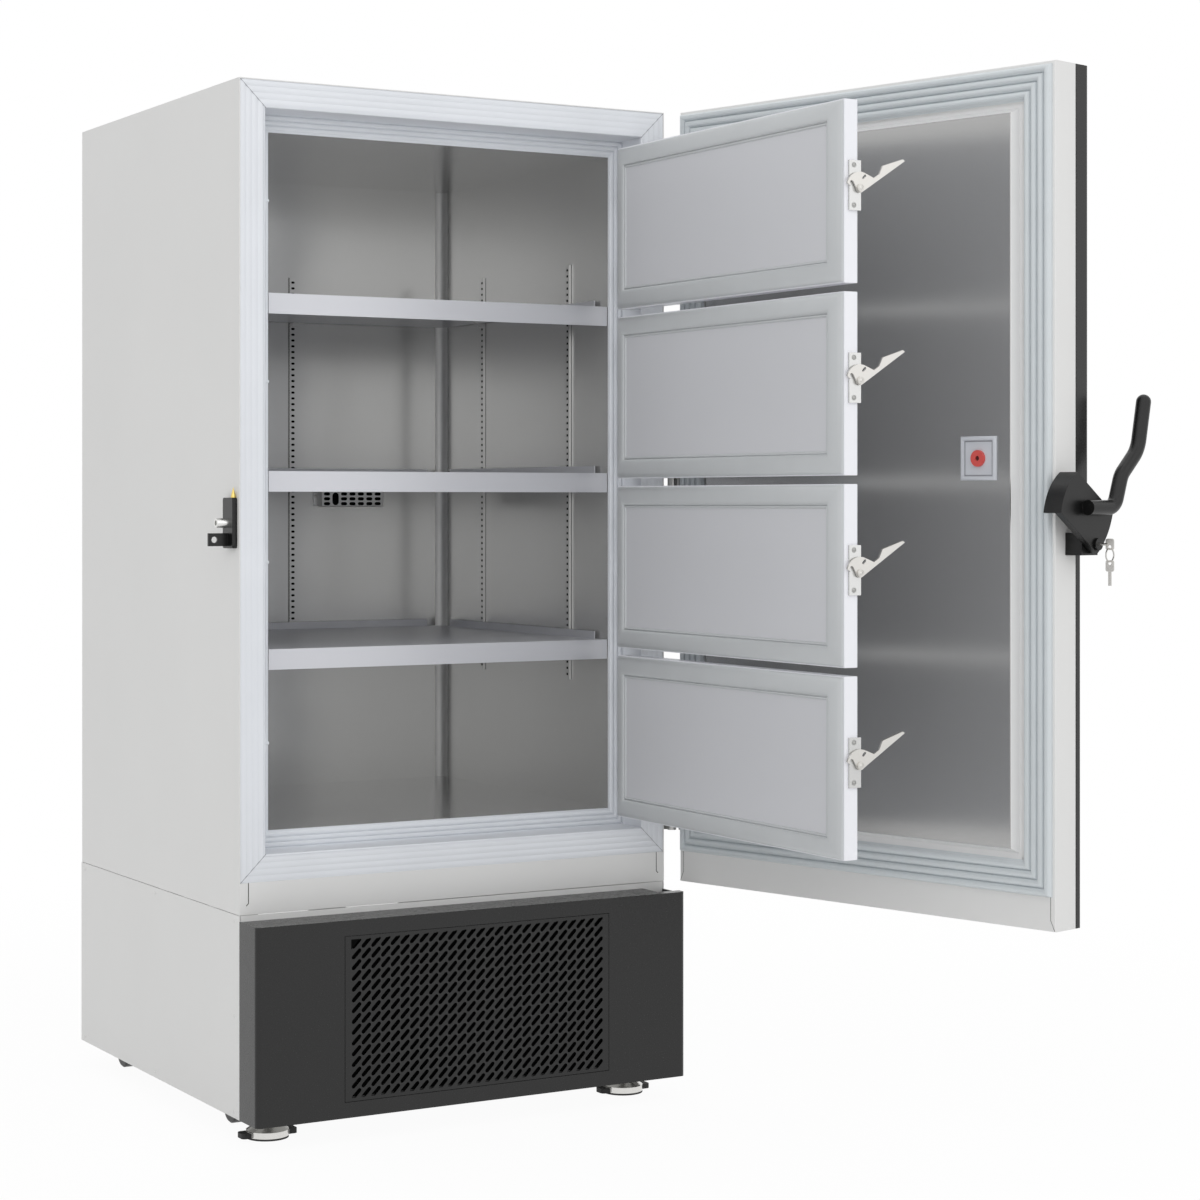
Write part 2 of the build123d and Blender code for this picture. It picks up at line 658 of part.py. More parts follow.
hinge_axis = turned_frame(right_x + DOOR_AXIS_OUT, front_y - DOOR_AXIS_FRONT, 0)
knuckle = HINGE_HEIGHT / 3
hinge_low = SEAM_Z + HINGE_BOTTOM_INSET
hinge_high = CAB_TOP - HINGE_TOP_INSET
hinge_levels = (hinge_low, (hinge_low + hinge_high) / 2, hinge_high)
with BuildPart() as cabinet_hinges:
    for level in hinge_levels:
        base = level - HINGE_HEIGHT / 2
        with BuildSketch(placed(hinge_axis, Plane.XY.offset(base))):
            with Locations((-DOOR_AXIS_OUT, HINGE_SET)):
                Rectangle(HINGE_PLATE, HINGE_LEAF, align=(Align.MIN, Align.MIN))
        extrude(amount=HINGE_HEIGHT)
        with BuildSketch(placed(hinge_axis, Plane.XY.offset(base))):
            Circle(HINGE_PIN_R)
        extrude(amount=HINGE_HEIGHT)
        for lift in (0, 2 * knuckle + END_CLEAR):
            with BuildSketch(placed(hinge_axis, Plane.XY.offset(base + lift))):
                Circle(HINGE_KNUCKLE_R)
                with BuildLine():
                    Polyline(
                        (0, -HINGE_KNUCKLE_R / 2),
                        (HINGE_KNUCKLE_R / 2, HINGE_KNUCKLE_R / 2),
                        (-DOOR_AXIS_OUT + HINGE_PLATE, HINGE_SET + HINGE_LEAF / 2),
                        (-DOOR_AXIS_OUT + HINGE_PLATE, HINGE_SET),
                        close=True,
                    )
                make_face()
            extrude(amount=knuckle - END_CLEAR)
save(cabinet_hinges, "cabinet_hinges")

with BuildPart() as door_hinges:
    for level in hinge_levels:
        base = level - HINGE_HEIGHT / 2
        with BuildSketch(placed(door_frame, Plane.XY.offset(base))):
            with Locations((-DOOR_AXIS_OUT, door_in)):
                Rectangle(HINGE_PLATE, HINGE_LEAF, align=(Align.MIN, Align.MAX))
        extrude(amount=HINGE_HEIGHT)
        with BuildSketch(placed(door_frame, Plane.XY.offset(base + knuckle))):
            Circle(HINGE_KNUCKLE_R)
            with BuildLine():
                Polyline(
                    (-HINGE_KNUCKLE_R / 2, -HINGE_KNUCKLE_R / 2),
                    (HINGE_KNUCKLE_R / 2, -HINGE_KNUCKLE_R / 2),
                    (-DOOR_AXIS_OUT + HINGE_PLATE, door_in - HINGE_LEAF / 2),
                    (-DOOR_AXIS_OUT + HINGE_PLATE, door_in),
                    close=True,
                )
            make_face()
            Circle(HINGE_PIN_R + RUN_CLEAR, mode=Mode.SUBTRACT)
        extrude(amount=knuckle)
save(door_hinges, "door_hinges")

# Handle: profile points are (distance out from the door's inner face, height)


def edge_plane(reach):
    """Plane beside the door's free edge, that far beyond it, with its normal towards the door."""
    return placed(door_frame, Plane.YZ.offset(door_left - reach))


def edge_point(point):
    """A handle profile point on such a plane."""
    return (door_in - point[0], point[1])


pivot = edge_point((PIVOT_OUT, PIVOT_Z))
cam_inner = BRACKET_REACH + CAM_GAP
cam_outer = cam_inner + CAM_PLATE
with BuildPart() as handle_bracket:
    with BuildSketch(edge_plane(BRACKET_REACH)):
        with Locations(edge_point((BRACKET_FROM, BRACKET_Z))):
            Rectangle(
                BRACKET_TO - BRACKET_FROM,
                BRACKET_HEIGHT,
                align=(Align.MAX, Align.MIN),
            )
    extrude(amount=BRACKET_REACH)
    with BuildSketch(edge_plane(BRACKET_REACH)):
        with Locations(pivot):
            Circle(STUD_R)
    extrude(amount=-(cam_outer + END_CLEAR - BRACKET_REACH))
    with BuildSketch(edge_plane(cam_outer + END_CLEAR)):
        with Locations(pivot):
            Circle(STUD_HEAD_R)
    extrude(amount=-STUD_HEAD)
    with BuildSketch(edge_plane(cam_outer + END_CLEAR + STUD_HEAD)):
        with Locations(pivot):
            Circle(KEY_SHANK_R + RUN_CLEAR)
    extrude(amount=KEY_DEPTH, mode=Mode.SUBTRACT)
save(handle_bracket, "handle_bracket")

with BuildPart() as handle_lever:
    # Diamond plate with an arched upper side
    with BuildSketch(edge_plane(cam_outer)):
        with BuildLine():
            ThreePointArc(edge_point(HOOD_TIP), edge_point(HOOD_CROWN), edge_point(HOOD_TOP))
            Line(edge_point(HOOD_TOP), edge_point(CAM_RIGHT))
            ThreePointArc(edge_point(CAM_RIGHT), edge_point(CAM_SIDE), edge_point(CAM_BOTTOM))
            Line(edge_point(CAM_BOTTOM), edge_point(HOOD_TIP))
        make_face()
        with Locations(pivot):
            Circle(STUD_R + RUN_CLEAR, mode=Mode.SUBTRACT)
    extrude(amount=CAM_PLATE)
    # Hood along the arch, which hooks over the striker pin
    with BuildSketch(edge_plane(cam_inner)):
        with BuildLine():
            arch = ThreePointArc(edge_point(HOOD_TIP), edge_point(HOOD_CROWN), edge_point(HOOD_TOP))
            middle = arch.arc_center
            under = [
                middle + (arch @ share - middle) * (1 - HOOD_WALL / arch.radius)
                for share in (0, 0.5, 1)
            ]
            ThreePointArc(*under)
            Line(arch @ 0, under[0])
            Line(arch @ 1, under[2])
        make_face()
    extrude(amount=cam_inner - HOOD_FROM)
    # Bent grip bar
    with BuildLine(edge_plane(cam_outer + GRIP_R - GRIP_SINK)) as grip_path:
        FilletPolyline(*[edge_point(p) for p in GRIP_PATH], radius=GRIP_BENDS)
    with BuildSketch(Plane(grip_path.line @ 0, z_dir=grip_path.line % 0)):
        Circle(GRIP_R)
    sweep()
    with Locations(grip_path.line @ 1):
        Sphere(GRIP_R)
save(handle_lever, "handle_lever")

key_seat = cam_outer + END_CLEAR + STUD_HEAD
bow_x = door_left - key_seat - KEY_SHANK
ring_top = PIVOT_Z - KEY_BOW[1] / 4 - KEY_HOLE_R + KEY_WIRE_R + END_CLEAR
ring_bottom = ring_top - 2 * KEY_RING_R
spare_hole = ring_bottom + KEY_WIRE_R + END_CLEAR - KEY_HOLE_R
with BuildPart() as lock_key:
    # Shank in the lock, with its bow standing upright
    with BuildSketch(edge_plane(key_seat - KEY_DEPTH + END_CLEAR)):
        with Locations(pivot):
            Circle(KEY_SHANK_R)
    extrude(amount=-(KEY_DEPTH - END_CLEAR + KEY_SHANK - KEY_BOW[0] / 4))
    with BuildSketch(placed(door_frame, front_plane(pivot[0] + KEY_THICK / 2))):
        with Locations((bow_x, PIVOT_Z)):
            RectangleRounded(*KEY_BOW, KEY_BOW_R)
        with Locations((bow_x, PIVOT_Z - KEY_BOW[1] / 4)):
            Circle(KEY_HOLE_R, mode=Mode.SUBTRACT)
        # Spare key hanging from the ring
        with Locations((bow_x, spare_hole - KEY_BOW[1] / 4)):
            RectangleRounded(*KEY_BOW, KEY_BOW_R)
        with Locations((bow_x, spare_hole - KEY_BOW[1] / 2)):
            Rectangle(SPARE_BLADE, SPARE_LENGTH, align=(Align.CENTER, Align.MAX))
        with Locations((bow_x, spare_hole)):
            Circle(KEY_HOLE_R, mode=Mode.SUBTRACT)
    extrude(amount=KEY_THICK)
    # Ring through both bows
    with BuildSketch(placed(door_frame, Plane.XZ.offset(-pivot[0]))):
        with Locations((bow_x, ring_top)):
            Rectangle(2 * KEY_WIRE_R, 2 * KEY_WIRE_R)
    ring_centre = door_frame.from_local_coords((bow_x, pivot[0], ring_top - KEY_RING_R))
    revolve(axis=Axis(ring_centre, door_frame.x_dir))
save(lock_key, "lock_key")

# Striker on the cabinet's left side, with the padlock eye below its pin

with BuildPart() as striker_block:
    with BuildSketch(Plane.YZ.offset(left_x)):
        with Locations((front_y + STRIKER_FRONT, STRIKER_BOTTOM)):
            Rectangle(STRIKER_DEPTH, STRIKER_HEIGHT, align=(Align.MIN, Align.MIN))
    extrude(amount=-STRIKER_THICK)
    fillet(striker_block.edges().filter_by(Axis.X), STRIKER_EDGE_R)
    with BuildSketch(front_plane(front_y + EYE_Y)):
        with Locations((left_x - STRIKER_THICK, EYE_BOTTOM)):
            Rectangle(EYE_REACH - STRIKER_THICK, EYE_HEIGHT, align=(Align.MAX, Align.MIN))
        with Locations((left_x - EYE_REACH + EYE_HEIGHT / 2, EYE_BOTTOM + EYE_HEIGHT / 2)):
            Circle(EYE_BORE_R, mode=Mode.SUBTRACT)
    extrude(amount=-EYE_THICK)
save(striker_block, "striker_block")

with BuildPart() as striker_pin:
    with BuildSketch(Plane.YZ.offset(left_x - STRIKER_THICK)):
        with Locations((front_y + STRIKER_PIN_Y, STRIKER_PIN_Z)):
            Circle(STRIKER_PIN_R)
    extrude(amount=-(STRIKER_PIN_REACH - STRIKER_THICK))
    with BuildSketch(Plane.YZ.offset(left_x - STRIKER_PIN_REACH)):
        with Locations((front_y + STRIKER_PIN_Y, STRIKER_PIN_Z)):
            RegularPolygon(STRIKER_SOCKET, 6)
    extrude(amount=STRIKER_SOCKET, mode=Mode.SUBTRACT)
    # Pointed stud on the block
    stud_seat = (left_x - STRIKER_THICK / 2, front_y + STUD_Y, STRIKER_BOTTOM + STRIKER_HEIGHT)
    with Locations(stud_seat):
        Cylinder(STUD_BASE_R, STUD_COLLAR, align=(Align.CENTER, Align.CENTER, Align.MIN))
        with Locations((0, 0, STUD_COLLAR)):
            Cone(STUD_BASE_R, 0, STUD_RISE - STUD_COLLAR, align=(Align.CENTER, Align.CENTER, Align.MIN))
save(striker_pin, "striker_pin")

# Inner doors, drawn closed in their shared hinge frame

inner_axis_x = recess_width / 2 - INNER_AXIS_IN
inner_axis_y = front_y + INNER_AXIS_BACK
inner_frame = turned_frame(inner_axis_x, inner_axis_y, INNER_OPEN)
inner_closed = turned_frame(inner_axis_x, inner_axis_y, 0)
inner_right = INNER_AXIS_IN - INNER_HINGE_GAP
inner_left = inner_right - inner_width
inner_front = INNER_FRONT - INNER_AXIS_BACK
inner_back = inner_front + INNER_THICK
inner_gasket_thick = RECESS_DEPTH - INNER_FRONT - INNER_THICK - INNER_GASKET_GAP
latch_face = inner_left - LATCH_PLATE_THICK
lever_face = latch_face - LEVER_GAP
latch_y = inner_front + LATCH_PIVOT_BACK
knuckle_z = INNER_HINGE_HEIGHT / 4


def hinge_bases(mid):
    """Lower ends of an inner door's two hinges."""
    reach = inner_height / 2 - INNER_HINGE_INSET
    return (mid - reach, mid + reach - INNER_HINGE_HEIGHT)


def make_inner_slab(mid):
    """Insulated slab of an inner door, with rounded edges on its outer face."""
    with BuildPart() as slab:
        with BuildSketch(placed(inner_frame, front_plane(inner_back))):
            with Locations(((inner_left + inner_right) / 2, mid)):
                Rectangle(inner_width, inner_height)
        extrude(amount=INNER_THICK)
        outward = Axis((0, 0, 0), -inner_frame.y_dir)
        fillet(slab.faces().sort_by(outward)[-1].edges(), INNER_EDGE_R)
    return slab


def make_inner_gasket(mid):
    """Seal round the back of an inner door, sloping outwards."""
    outer_width = inner_width - 2 * INNER_GASKET_INSET
    outer_height = inner_height - 2 * INNER_GASKET_INSET
    with BuildPart() as gasket:
        with BuildSketch(placed(inner_frame, rear_plane(inner_back))):
            with Locations((-(inner_left + inner_right) / 2, mid)):
                Rectangle(outer_width, outer_height)
        extrude(amount=inner_gasket_thick, taper=INNER_GASKET_SLOPE)
        with BuildSketch(placed(inner_frame, rear_plane(inner_back))):
            with Locations((-(inner_left + inner_right) / 2, mid)):
                Rectangle(outer_width - 2 * INNER_GASKET_BAND, outer_height - 2 * INNER_GASKET_BAND)
        extrude(amount=inner_gasket_thick, mode=Mode.SUBTRACT)
    return gasket


def make_inner_fittings(mid):
    """Stainless fittings on an inner door: latch base with its stud, and two hinge leaves."""
    with BuildPart() as fittings:
        with BuildSketch(placed(inner_frame, Plane.YZ.offset(inner_left))):
            with Locations((inner_front - LATCH_PLATE_PROUD, mid + LATCH_PLATE_RISE)):
                Rectangle(LATCH_PLATE_WIDTH, LATCH_PLATE_HEIGHT, align=(Align.MIN, Align.CENTER))
        extrude(amount=-LATCH_PLATE_THICK)
        stud_end = LEVER_GAP + LEVER_THICK + END_CLEAR
        with BuildSketch(placed(inner_frame, Plane.YZ.offset(latch_face))):
            with Locations((latch_y, mid + LATCH_PIVOT_RISE)):
                Circle(LATCH_STUD_R)
        extrude(amount=-stud_end)
        with BuildSketch(placed(inner_frame, Plane.YZ.offset(latch_face - stud_end))):
            with Locations((latch_y, mid + LATCH_PIVOT_RISE)):
                RegularPolygon(LATCH_HEAD_R, 6)
        extrude(amount=-LATCH_HEAD)
        for base in hinge_bases(mid):
            with BuildSketch(placed(inner_frame, Plane.XY.offset(base + knuckle_z))):
                with BuildLine():
                    Polyline(
                        (inner_right - INNER_LEAF, inner_front),
                        (inner_right - INNER_LEAF, inner_front - INNER_LEAF_THICK),
                        (inner_right - INNER_EDGE_R, inner_front - INNER_LEAF_THICK),
                        (-INNER_KNUCKLE_R / 2, -INNER_KNUCKLE_R / 2),
                        (INNER_KNUCKLE_R / 2, INNER_KNUCKLE_R / 2),
                        (inner_right, inner_front),
                        close=True,
                    )
                make_face()
                Circle(INNER_KNUCKLE_R)
                Circle(INNER_PIN_R + RUN_CLEAR, mode=Mode.SUBTRACT)
            extrude(amount=INNER_HINGE_HEIGHT - 2 * knuckle_z)
    return fittings


def make_latch_lever(mid):
    """Latch lever: flared palm, hub on the stud, and a round cam whose hook takes the keeper."""
    pivot_plane = placed(
        inner_frame,
        Plane(
            origin=(lever_face, latch_y, mid + LATCH_PIVOT_RISE),
            x_dir=(0, -cos(radians(LEVER_ANGLE)), sin(radians(LEVER_ANGLE))),
            z_dir=(-1, 0, 0),
        ),
    )
    hook_tip = (CAM_R * cos(radians(CAM_END)), CAM_R * sin(radians(CAM_END)))
    with BuildPart() as lever:
        with BuildSketch(pivot_plane):
            with BuildLine():
                Polyline(
                    hook_tip,
                    (HOOK_AT[0], 0),
                    (0, -LEVER_HUB_R),
                    (LEVER_LENGTH, LEVER_TIP[0]),
                    (LEVER_LENGTH - LEVER_TIP[1], LEVER_TIP[1]),
                    LEVER_FLAG,
                    LEVER_NECK,
                    LEVER_NOTCH,
                    CAM_CORNER,
                )
                ThreePointArc(CAM_CORNER, (0, CAM_R), hook_tip)
            make_face()
            with Locations(HOOK_AT):
                Circle(HOOK_IN_R, mode=Mode.SUBTRACT)
                Rectangle(
                    2 * HOOK_IN_R,
                    2 * CAM_R,
                    align=(Align.CENTER, Align.MAX),
                    mode=Mode.SUBTRACT,
                )
            with Locations(EYELET):
                SlotOverall(*EYELET_SIZE, rotation=EYELET_TILT, mode=Mode.SUBTRACT)
            Circle(LEVER_HUB_R)
            Circle(LATCH_STUD_R + RUN_CLEAR, mode=Mode.SUBTRACT)
        extrude(amount=LEVER_THICK)
    return lever


for index, mid in enumerate(inner_mids, start=1):
    save(make_inner_slab(mid), f"inner_door_{index}")
    save(make_inner_gasket(mid), f"inner_gasket_{index}")
    save(make_inner_fittings(mid), f"inner_fittings_{index}")
    save(make_latch_lever(mid), f"latch_lever_{index}")

# Hinge brackets on the recess's right wall and keepers on its left wall
keeper_angle = radians(LEVER_ANGLE - LEVER_SWING)
keeper_out = HOOK_AT[0] * cos(keeper_angle) - HOOK_AT[1] * sin(keeper_angle)
keeper_rise = HOOK_AT[0] * sin(keeper_angle) + HOOK_AT[1] * cos(keeper_angle)
keeper_y = inner_axis_y + latch_y - keeper_out
keeper_reach = INNER_LATCH_GAP - LATCH_PLATE_THICK - KEEPER_CLEAR
with BuildPart() as inner_brackets:
    for mid in inner_mids:
        for base in hinge_bases(mid):
            with BuildSketch(placed(inner_closed, Plane.XY.offset(base))):
                with Locations((INNER_AXIS_IN, -INNER_KNUCKLE_R)):
                    Rectangle(INNER_BRACKET, INNER_BRACKET_DEPTH, align=(Align.MAX, Align.MIN))
            extrude(amount=INNER_HINGE_HEIGHT)
            with BuildSketch(placed(inner_closed, Plane.XY.offset(base))):
                Circle(INNER_PIN_R)
            extrude(amount=INNER_HINGE_HEIGHT)
            for lift in (0, INNER_HINGE_HEIGHT - knuckle_z + END_CLEAR):
                with BuildSketch(placed(inner_closed, Plane.XY.offset(base + lift))):
                    with Locations((INNER_AXIS_IN, 0)):
                        Rectangle(
                            INNER_AXIS_IN + INNER_KNUCKLE_R,
                            2 * INNER_KNUCKLE_R,
                            align=(Align.MAX, Align.CENTER),
                        )
                extrude(amount=knuckle_z - END_CLEAR)
        keeper_z = mid + LATCH_PIVOT_RISE + keeper_rise
        with BuildSketch(Plane.YZ.offset(-recess_width / 2)):
            with Locations((keeper_y, keeper_z)):
                Rectangle(*KEEPER_PLATE_SIZE)
        extrude(amount=KEEPER_PLATE)
        with BuildSketch(Plane.YZ.offset(-recess_width / 2)):
            with Locations((keeper_y, keeper_z)):
                Circle(KEEPER_R)
        extrude(amount=keeper_reach)
save(inner_brackets, "inner_brackets")

# Machine compartment

pan_width = CAB_WIDTH - 2 * SHEET
pan_depth = CAB_DEPTH - 2 * SHEET
pan_top = PAN_Z + PAN_SHEET
foot_places = [(side * (right_x - FOOT_INSET), front_y + FOOT_Y) for side in (-1, 1)]
caster_places = [
    (side * (right_x - CASTER_INSET), y)
    for y in (front_y + CASTER_FRONT, back_y - CASTER_REAR_INSET)
    for side in (-1, 1)
]
caster_plate_z = PAN_Z - CASTER_PLATE_THICK
with BuildPart() as base_frame:
    with BuildSketch(Plane.XY.offset(PAN_Z)):
        Rectangle(pan_width, pan_depth)
        with Locations(*foot_places):
            Circle(FOOT_STEM_R + RUN_CLEAR, mode=Mode.SUBTRACT)
    extrude(amount=PAN_SHEET)
    # Corner posts carry the insulated cabinet
    with BuildSketch(Plane.XY.offset(pan_top)):
        for side_x in (-1, 1):
            for side_y in (-1, 1):
                with Locations((side_x * (pan_width - POST_SIZE) / 2, side_y * (pan_depth - POST_SIZE) / 2)):
                    Rectangle(POST_SIZE, POST_SIZE)
                inset_x = side_x * (pan_width / 2 - POST_WALL - POST_SIZE / 2)
                inset_y = side_y * (pan_depth / 2 - POST_WALL - POST_SIZE / 2)
                with Locations((inset_x, inset_y)):
                    Rectangle(POST_SIZE, POST_SIZE, mode=Mode.SUBTRACT)
    extrude(amount=SEAM_Z - pan_top)
    # Caster plates
    with BuildSketch(Plane.XY.offset(PAN_Z)):
        with Locations(*caster_places):
            Rectangle(CASTER_PLATE, CASTER_PLATE)
            Circle(KINGPIN_R + RUN_CLEAR, mode=Mode.SUBTRACT)
    extrude(amount=-CASTER_PLATE_THICK)
save(base_frame, "base_frame")

panel_height = SEAM_Z - PANEL_GAP - SKIRT_Z
with BuildPart() as side_panels:
    for side in (-1, 1):
        with BuildSketch(Plane.YZ.offset(side * (CAB_WIDTH / 2 - SHEET))):
            with Locations((0, SKIRT_Z)):
                Rectangle(CAB_DEPTH, panel_height, align=(Align.CENTER, Align.MIN))
        extrude(amount=side * SHEET)
    # Rail across the front, above the moulding
    with BuildSketch(front_plane(front_y)):
        with Locations((0, SEAM_Z - PANEL_GAP)):
            Rectangle(pan_width - 2 * PANEL_GAP, RAIL_HEIGHT, align=(Align.CENTER, Align.MAX))
    extrude(amount=-SHEET)
save(side_panels, "side_panels")

with BuildPart() as rear_panel:
    with BuildSketch(front_plane(back_y - SHEET)):
        with Locations((0, SKIRT_Z)):
            Rectangle(pan_width, panel_height, align=(Align.CENTER, Align.MIN))
        with Locations((0, LOUVRE_Z)):
            with GridLocations(*LOUVRE_PITCH, *LOUVRE_GRID):
                Rectangle(LOUVRE_WIDTH, LOUVRE_HEIGHT, mode=Mode.SUBTRACT)
        with Locations((left_x + INLET_INSET, INLET_Z)):
            Rectangle(*INLET_SIZE, mode=Mode.SUBTRACT)
    extrude(amount=-SHEET)
save(rear_panel, "rear_panel")

with BuildPart() as power_inlet:
    with BuildSketch(front_plane(back_y)):
        with Locations((left_x + INLET_INSET, INLET_Z)):
            Rectangle(*INLET_SIZE)
    extrude(amount=INLET_DEPTH)
    offset(amount=-INLET_WALL, openings=power_inlet.faces().sort_by(Axis.Y)[-1])
save(power_inlet, "power_inlet")

fascia_front = front_y - FASCIA_DEPTH
grille_mid = (0, GRILLE_BOTTOM + GRILLE_HEIGHT / 2)
rim_back = fascia_front + FASCIA_WALL + RIM_THICK
with BuildPart() as front_fascia:
    with BuildSketch(Plane.XY.offset(SKIRT_Z)):
        with Locations((0, fascia_front)):
            Rectangle(CAB_WIDTH, FASCIA_DEPTH, align=(Align.CENTER, Align.MIN))
    extrude(amount=FASCIA_TOP - SKIRT_Z)
    fillet(front_fascia.edges().filter_by(Axis.Z).group_by(Axis.Y)[0], FASCIA_EDGE_R)
    offset(amount=-FASCIA_WALL, openings=front_fascia.faces().sort_by(Axis.Y)[-1])
    # Seat behind the grille
    with BuildSketch(front_plane(fascia_front + FASCIA_WALL)):
        with Locations(grille_mid):
            Rectangle(GRILLE_WIDTH + 2 * RIM_FACE, GRILLE_HEIGHT + 2 * RIM_FACE)
    extrude(amount=-RIM_THICK)
    with BuildSketch(front_plane(fascia_front)):
        with Locations(grille_mid):
            Rectangle(GRILLE_WIDTH, GRILLE_HEIGHT)
    extrude(amount=-FASCIA_WALL, mode=Mode.SUBTRACT)
    with BuildSketch(front_plane(rim_back)):
        with Locations(grille_mid):
            Rectangle(GRILLE_WIDTH - 2 * RIM_FACE, GRILLE_HEIGHT - 2 * RIM_FACE)
    extrude(amount=FASCIA_DEPTH, mode=Mode.SUBTRACT)
    # Notch in the top flange below the door hinge
    with BuildSketch(Plane.XY.offset(FASCIA_TOP)):
        with Locations((right_x, front_y)):
            Rectangle(NOTCH_WIDTH, FASCIA_DEPTH - NOTCH_LIP, align=(Align.MAX, Align.MAX))
    extrude(amount=-FASCIA_WALL, mode=Mode.SUBTRACT)
save(front_fascia, "front_fascia")

slot_columns = int((GRILLE_WIDTH - 2 * SLOT_MARGIN_X) / SLOT_PITCH) + 1
slot_rows = int((GRILLE_HEIGHT - 2 * SLOT_MARGIN_Z) / SLOT_PITCH) + 1
with BuildPart() as grille:
    # Slots, cut off square at the border
    with BuildSketch(front_plane(fascia_front), mode=Mode.PRIVATE) as slots:
        with Locations(grille_mid):
            with GridLocations(SLOT_PITCH, SLOT_PITCH, slot_columns, slot_rows):
                Rectangle(SLOT_LENGTH, SLOT_WIDTH, rotation=SLOT_TILT)
            Rectangle(
                GRILLE_WIDTH - 2 * SLOT_BORDER_X,
                GRILLE_HEIGHT - 2 * SLOT_BORDER_Z,
                mode=Mode.INTERSECT,
            )
    with BuildSketch(front_plane(fascia_front)):
        with Locations(grille_mid):
            Rectangle(GRILLE_WIDTH - 2 * GRILLE_GAP, GRILLE_HEIGHT - 2 * GRILLE_GAP)
        add(slots.sketch_local, mode=Mode.SUBTRACT)
    extrude(amount=-FASCIA_WALL)
save(grille, "grille")

with BuildPart() as air_filter:
    with BuildSketch(front_plane(rim_back)):
        with Locations(grille_mid):
            Rectangle(GRILLE_WIDTH, GRILLE_HEIGHT)
    extrude(amount=-FILTER_THICK)
save(air_filter, "air_filter")

coil_width = pan_width - 2 * COIL_SIDE_GAP
coil_front = front_y + COIL_GAP
coil_top = FASCIA_TOP - COIL_GAP
coil_z = (pan_top + coil_top) / 2
shroud_back = coil_front + COIL_DEPTH + SHROUD_DEPTH
fan_y = shroud_back + END_CLEAR + FAN_HUB_LENGTH
with BuildPart() as condenser:
    # Coil block standing on the pan
    with BuildSketch(front_plane(coil_front)):
        with Locations((0, pan_top)):
            Rectangle(coil_width, coil_top - pan_top, align=(Align.CENTER, Align.MIN))
    extrude(amount=-COIL_DEPTH)
    # Shroud that guides the air to the fan
    with BuildSketch(front_plane(coil_front + COIL_DEPTH)):
        with Locations((0, coil_z)):
            Rectangle(coil_width, coil_top - pan_top)
            Circle(SHROUD_R, mode=Mode.SUBTRACT)
    extrude(amount=-SHROUD_DEPTH)
    # Motor on its stand, with the shaft towards the coil
    with BuildSketch(front_plane(fan_y + END_CLEAR)):
        with Locations((0, coil_z)):
            Circle(MOTOR_R)
    extrude(amount=-MOTOR_LENGTH)
    with BuildSketch(front_plane(fan_y + END_CLEAR)):
        with Locations((0, pan_top)):
            Rectangle(MOTOR_STAND, coil_z - pan_top, align=(Align.CENTER, Align.MIN))
    extrude(amount=-MOTOR_LENGTH)
    with BuildSketch(front_plane(fan_y + END_CLEAR)):
        with Locations((0, coil_z)):
            Circle(MOTOR_SHAFT_R)
    extrude(amount=FAN_HUB_LENGTH)
save(condenser, "condenser")

with BuildPart() as condenser_fan:
    with BuildSketch(front_plane(fan_y)):
        with Locations((0, coil_z)):
            Circle(FAN_HUB_R)
            Circle(MOTOR_SHAFT_R + RUN_CLEAR, mode=Mode.SUBTRACT)
    extrude(amount=FAN_HUB_LENGTH)
    for blade in range(FAN_BLADES):
        turn = 360 * blade / FAN_BLADES
        spoke = Plane(
            origin=(0, fan_y - FAN_HUB_LENGTH / 2, coil_z),
            x_dir=(-sin(radians(turn)), 0, cos(radians(turn))),
            z_dir=(cos(radians(turn)), 0, sin(radians(turn))),
        )
        with BuildSketch(spoke.offset((FAN_HUB_R + MOTOR_SHAFT_R) / 2)):
            Rectangle(FAN_HUB_R, FAN_BLADE_THICK, rotation=FAN_PITCH)
        with BuildSketch(spoke.offset(FAN_R)):
            Rectangle(2 * FAN_HUB_R, FAN_BLADE_THICK, rotation=FAN_PITCH / 2)
        loft()
save(condenser_fan, "condenser_fan")

compressor_y = back_y - COMPRESSOR_BACK
with BuildPart() as compressors:
    for side in (-1, 1):
        with BuildSketch(Plane.XY.offset(pan_top)):
            with Locations((side * COMPRESSOR_X, compressor_y)):
                Rectangle(*COMPRESSOR_FOOT[:2])
        extrude(amount=COMPRESSOR_FOOT[2])
        with BuildSketch(Plane.XY.offset(pan_top)):
            with Locations((side * COMPRESSOR_X, compressor_y)):
                Circle(COMPRESSOR_R)
        extrude(amount=COMPRESSOR_HEIGHT)
    fillet(compressors.edges().group_by(Axis.Z)[-1], COMPRESSOR_DOME)
save(compressors, "compressors")

# Casters: a fork that swivels on its kingpin, and a wheel that rolls on the fork's axle

swivel_top = caster_plate_z - END_CLEAR
swivel_bottom = swivel_top - SWIVEL_THICK
cheek_in = WHEEL_WIDTH / 2 + WHEEL_GAP


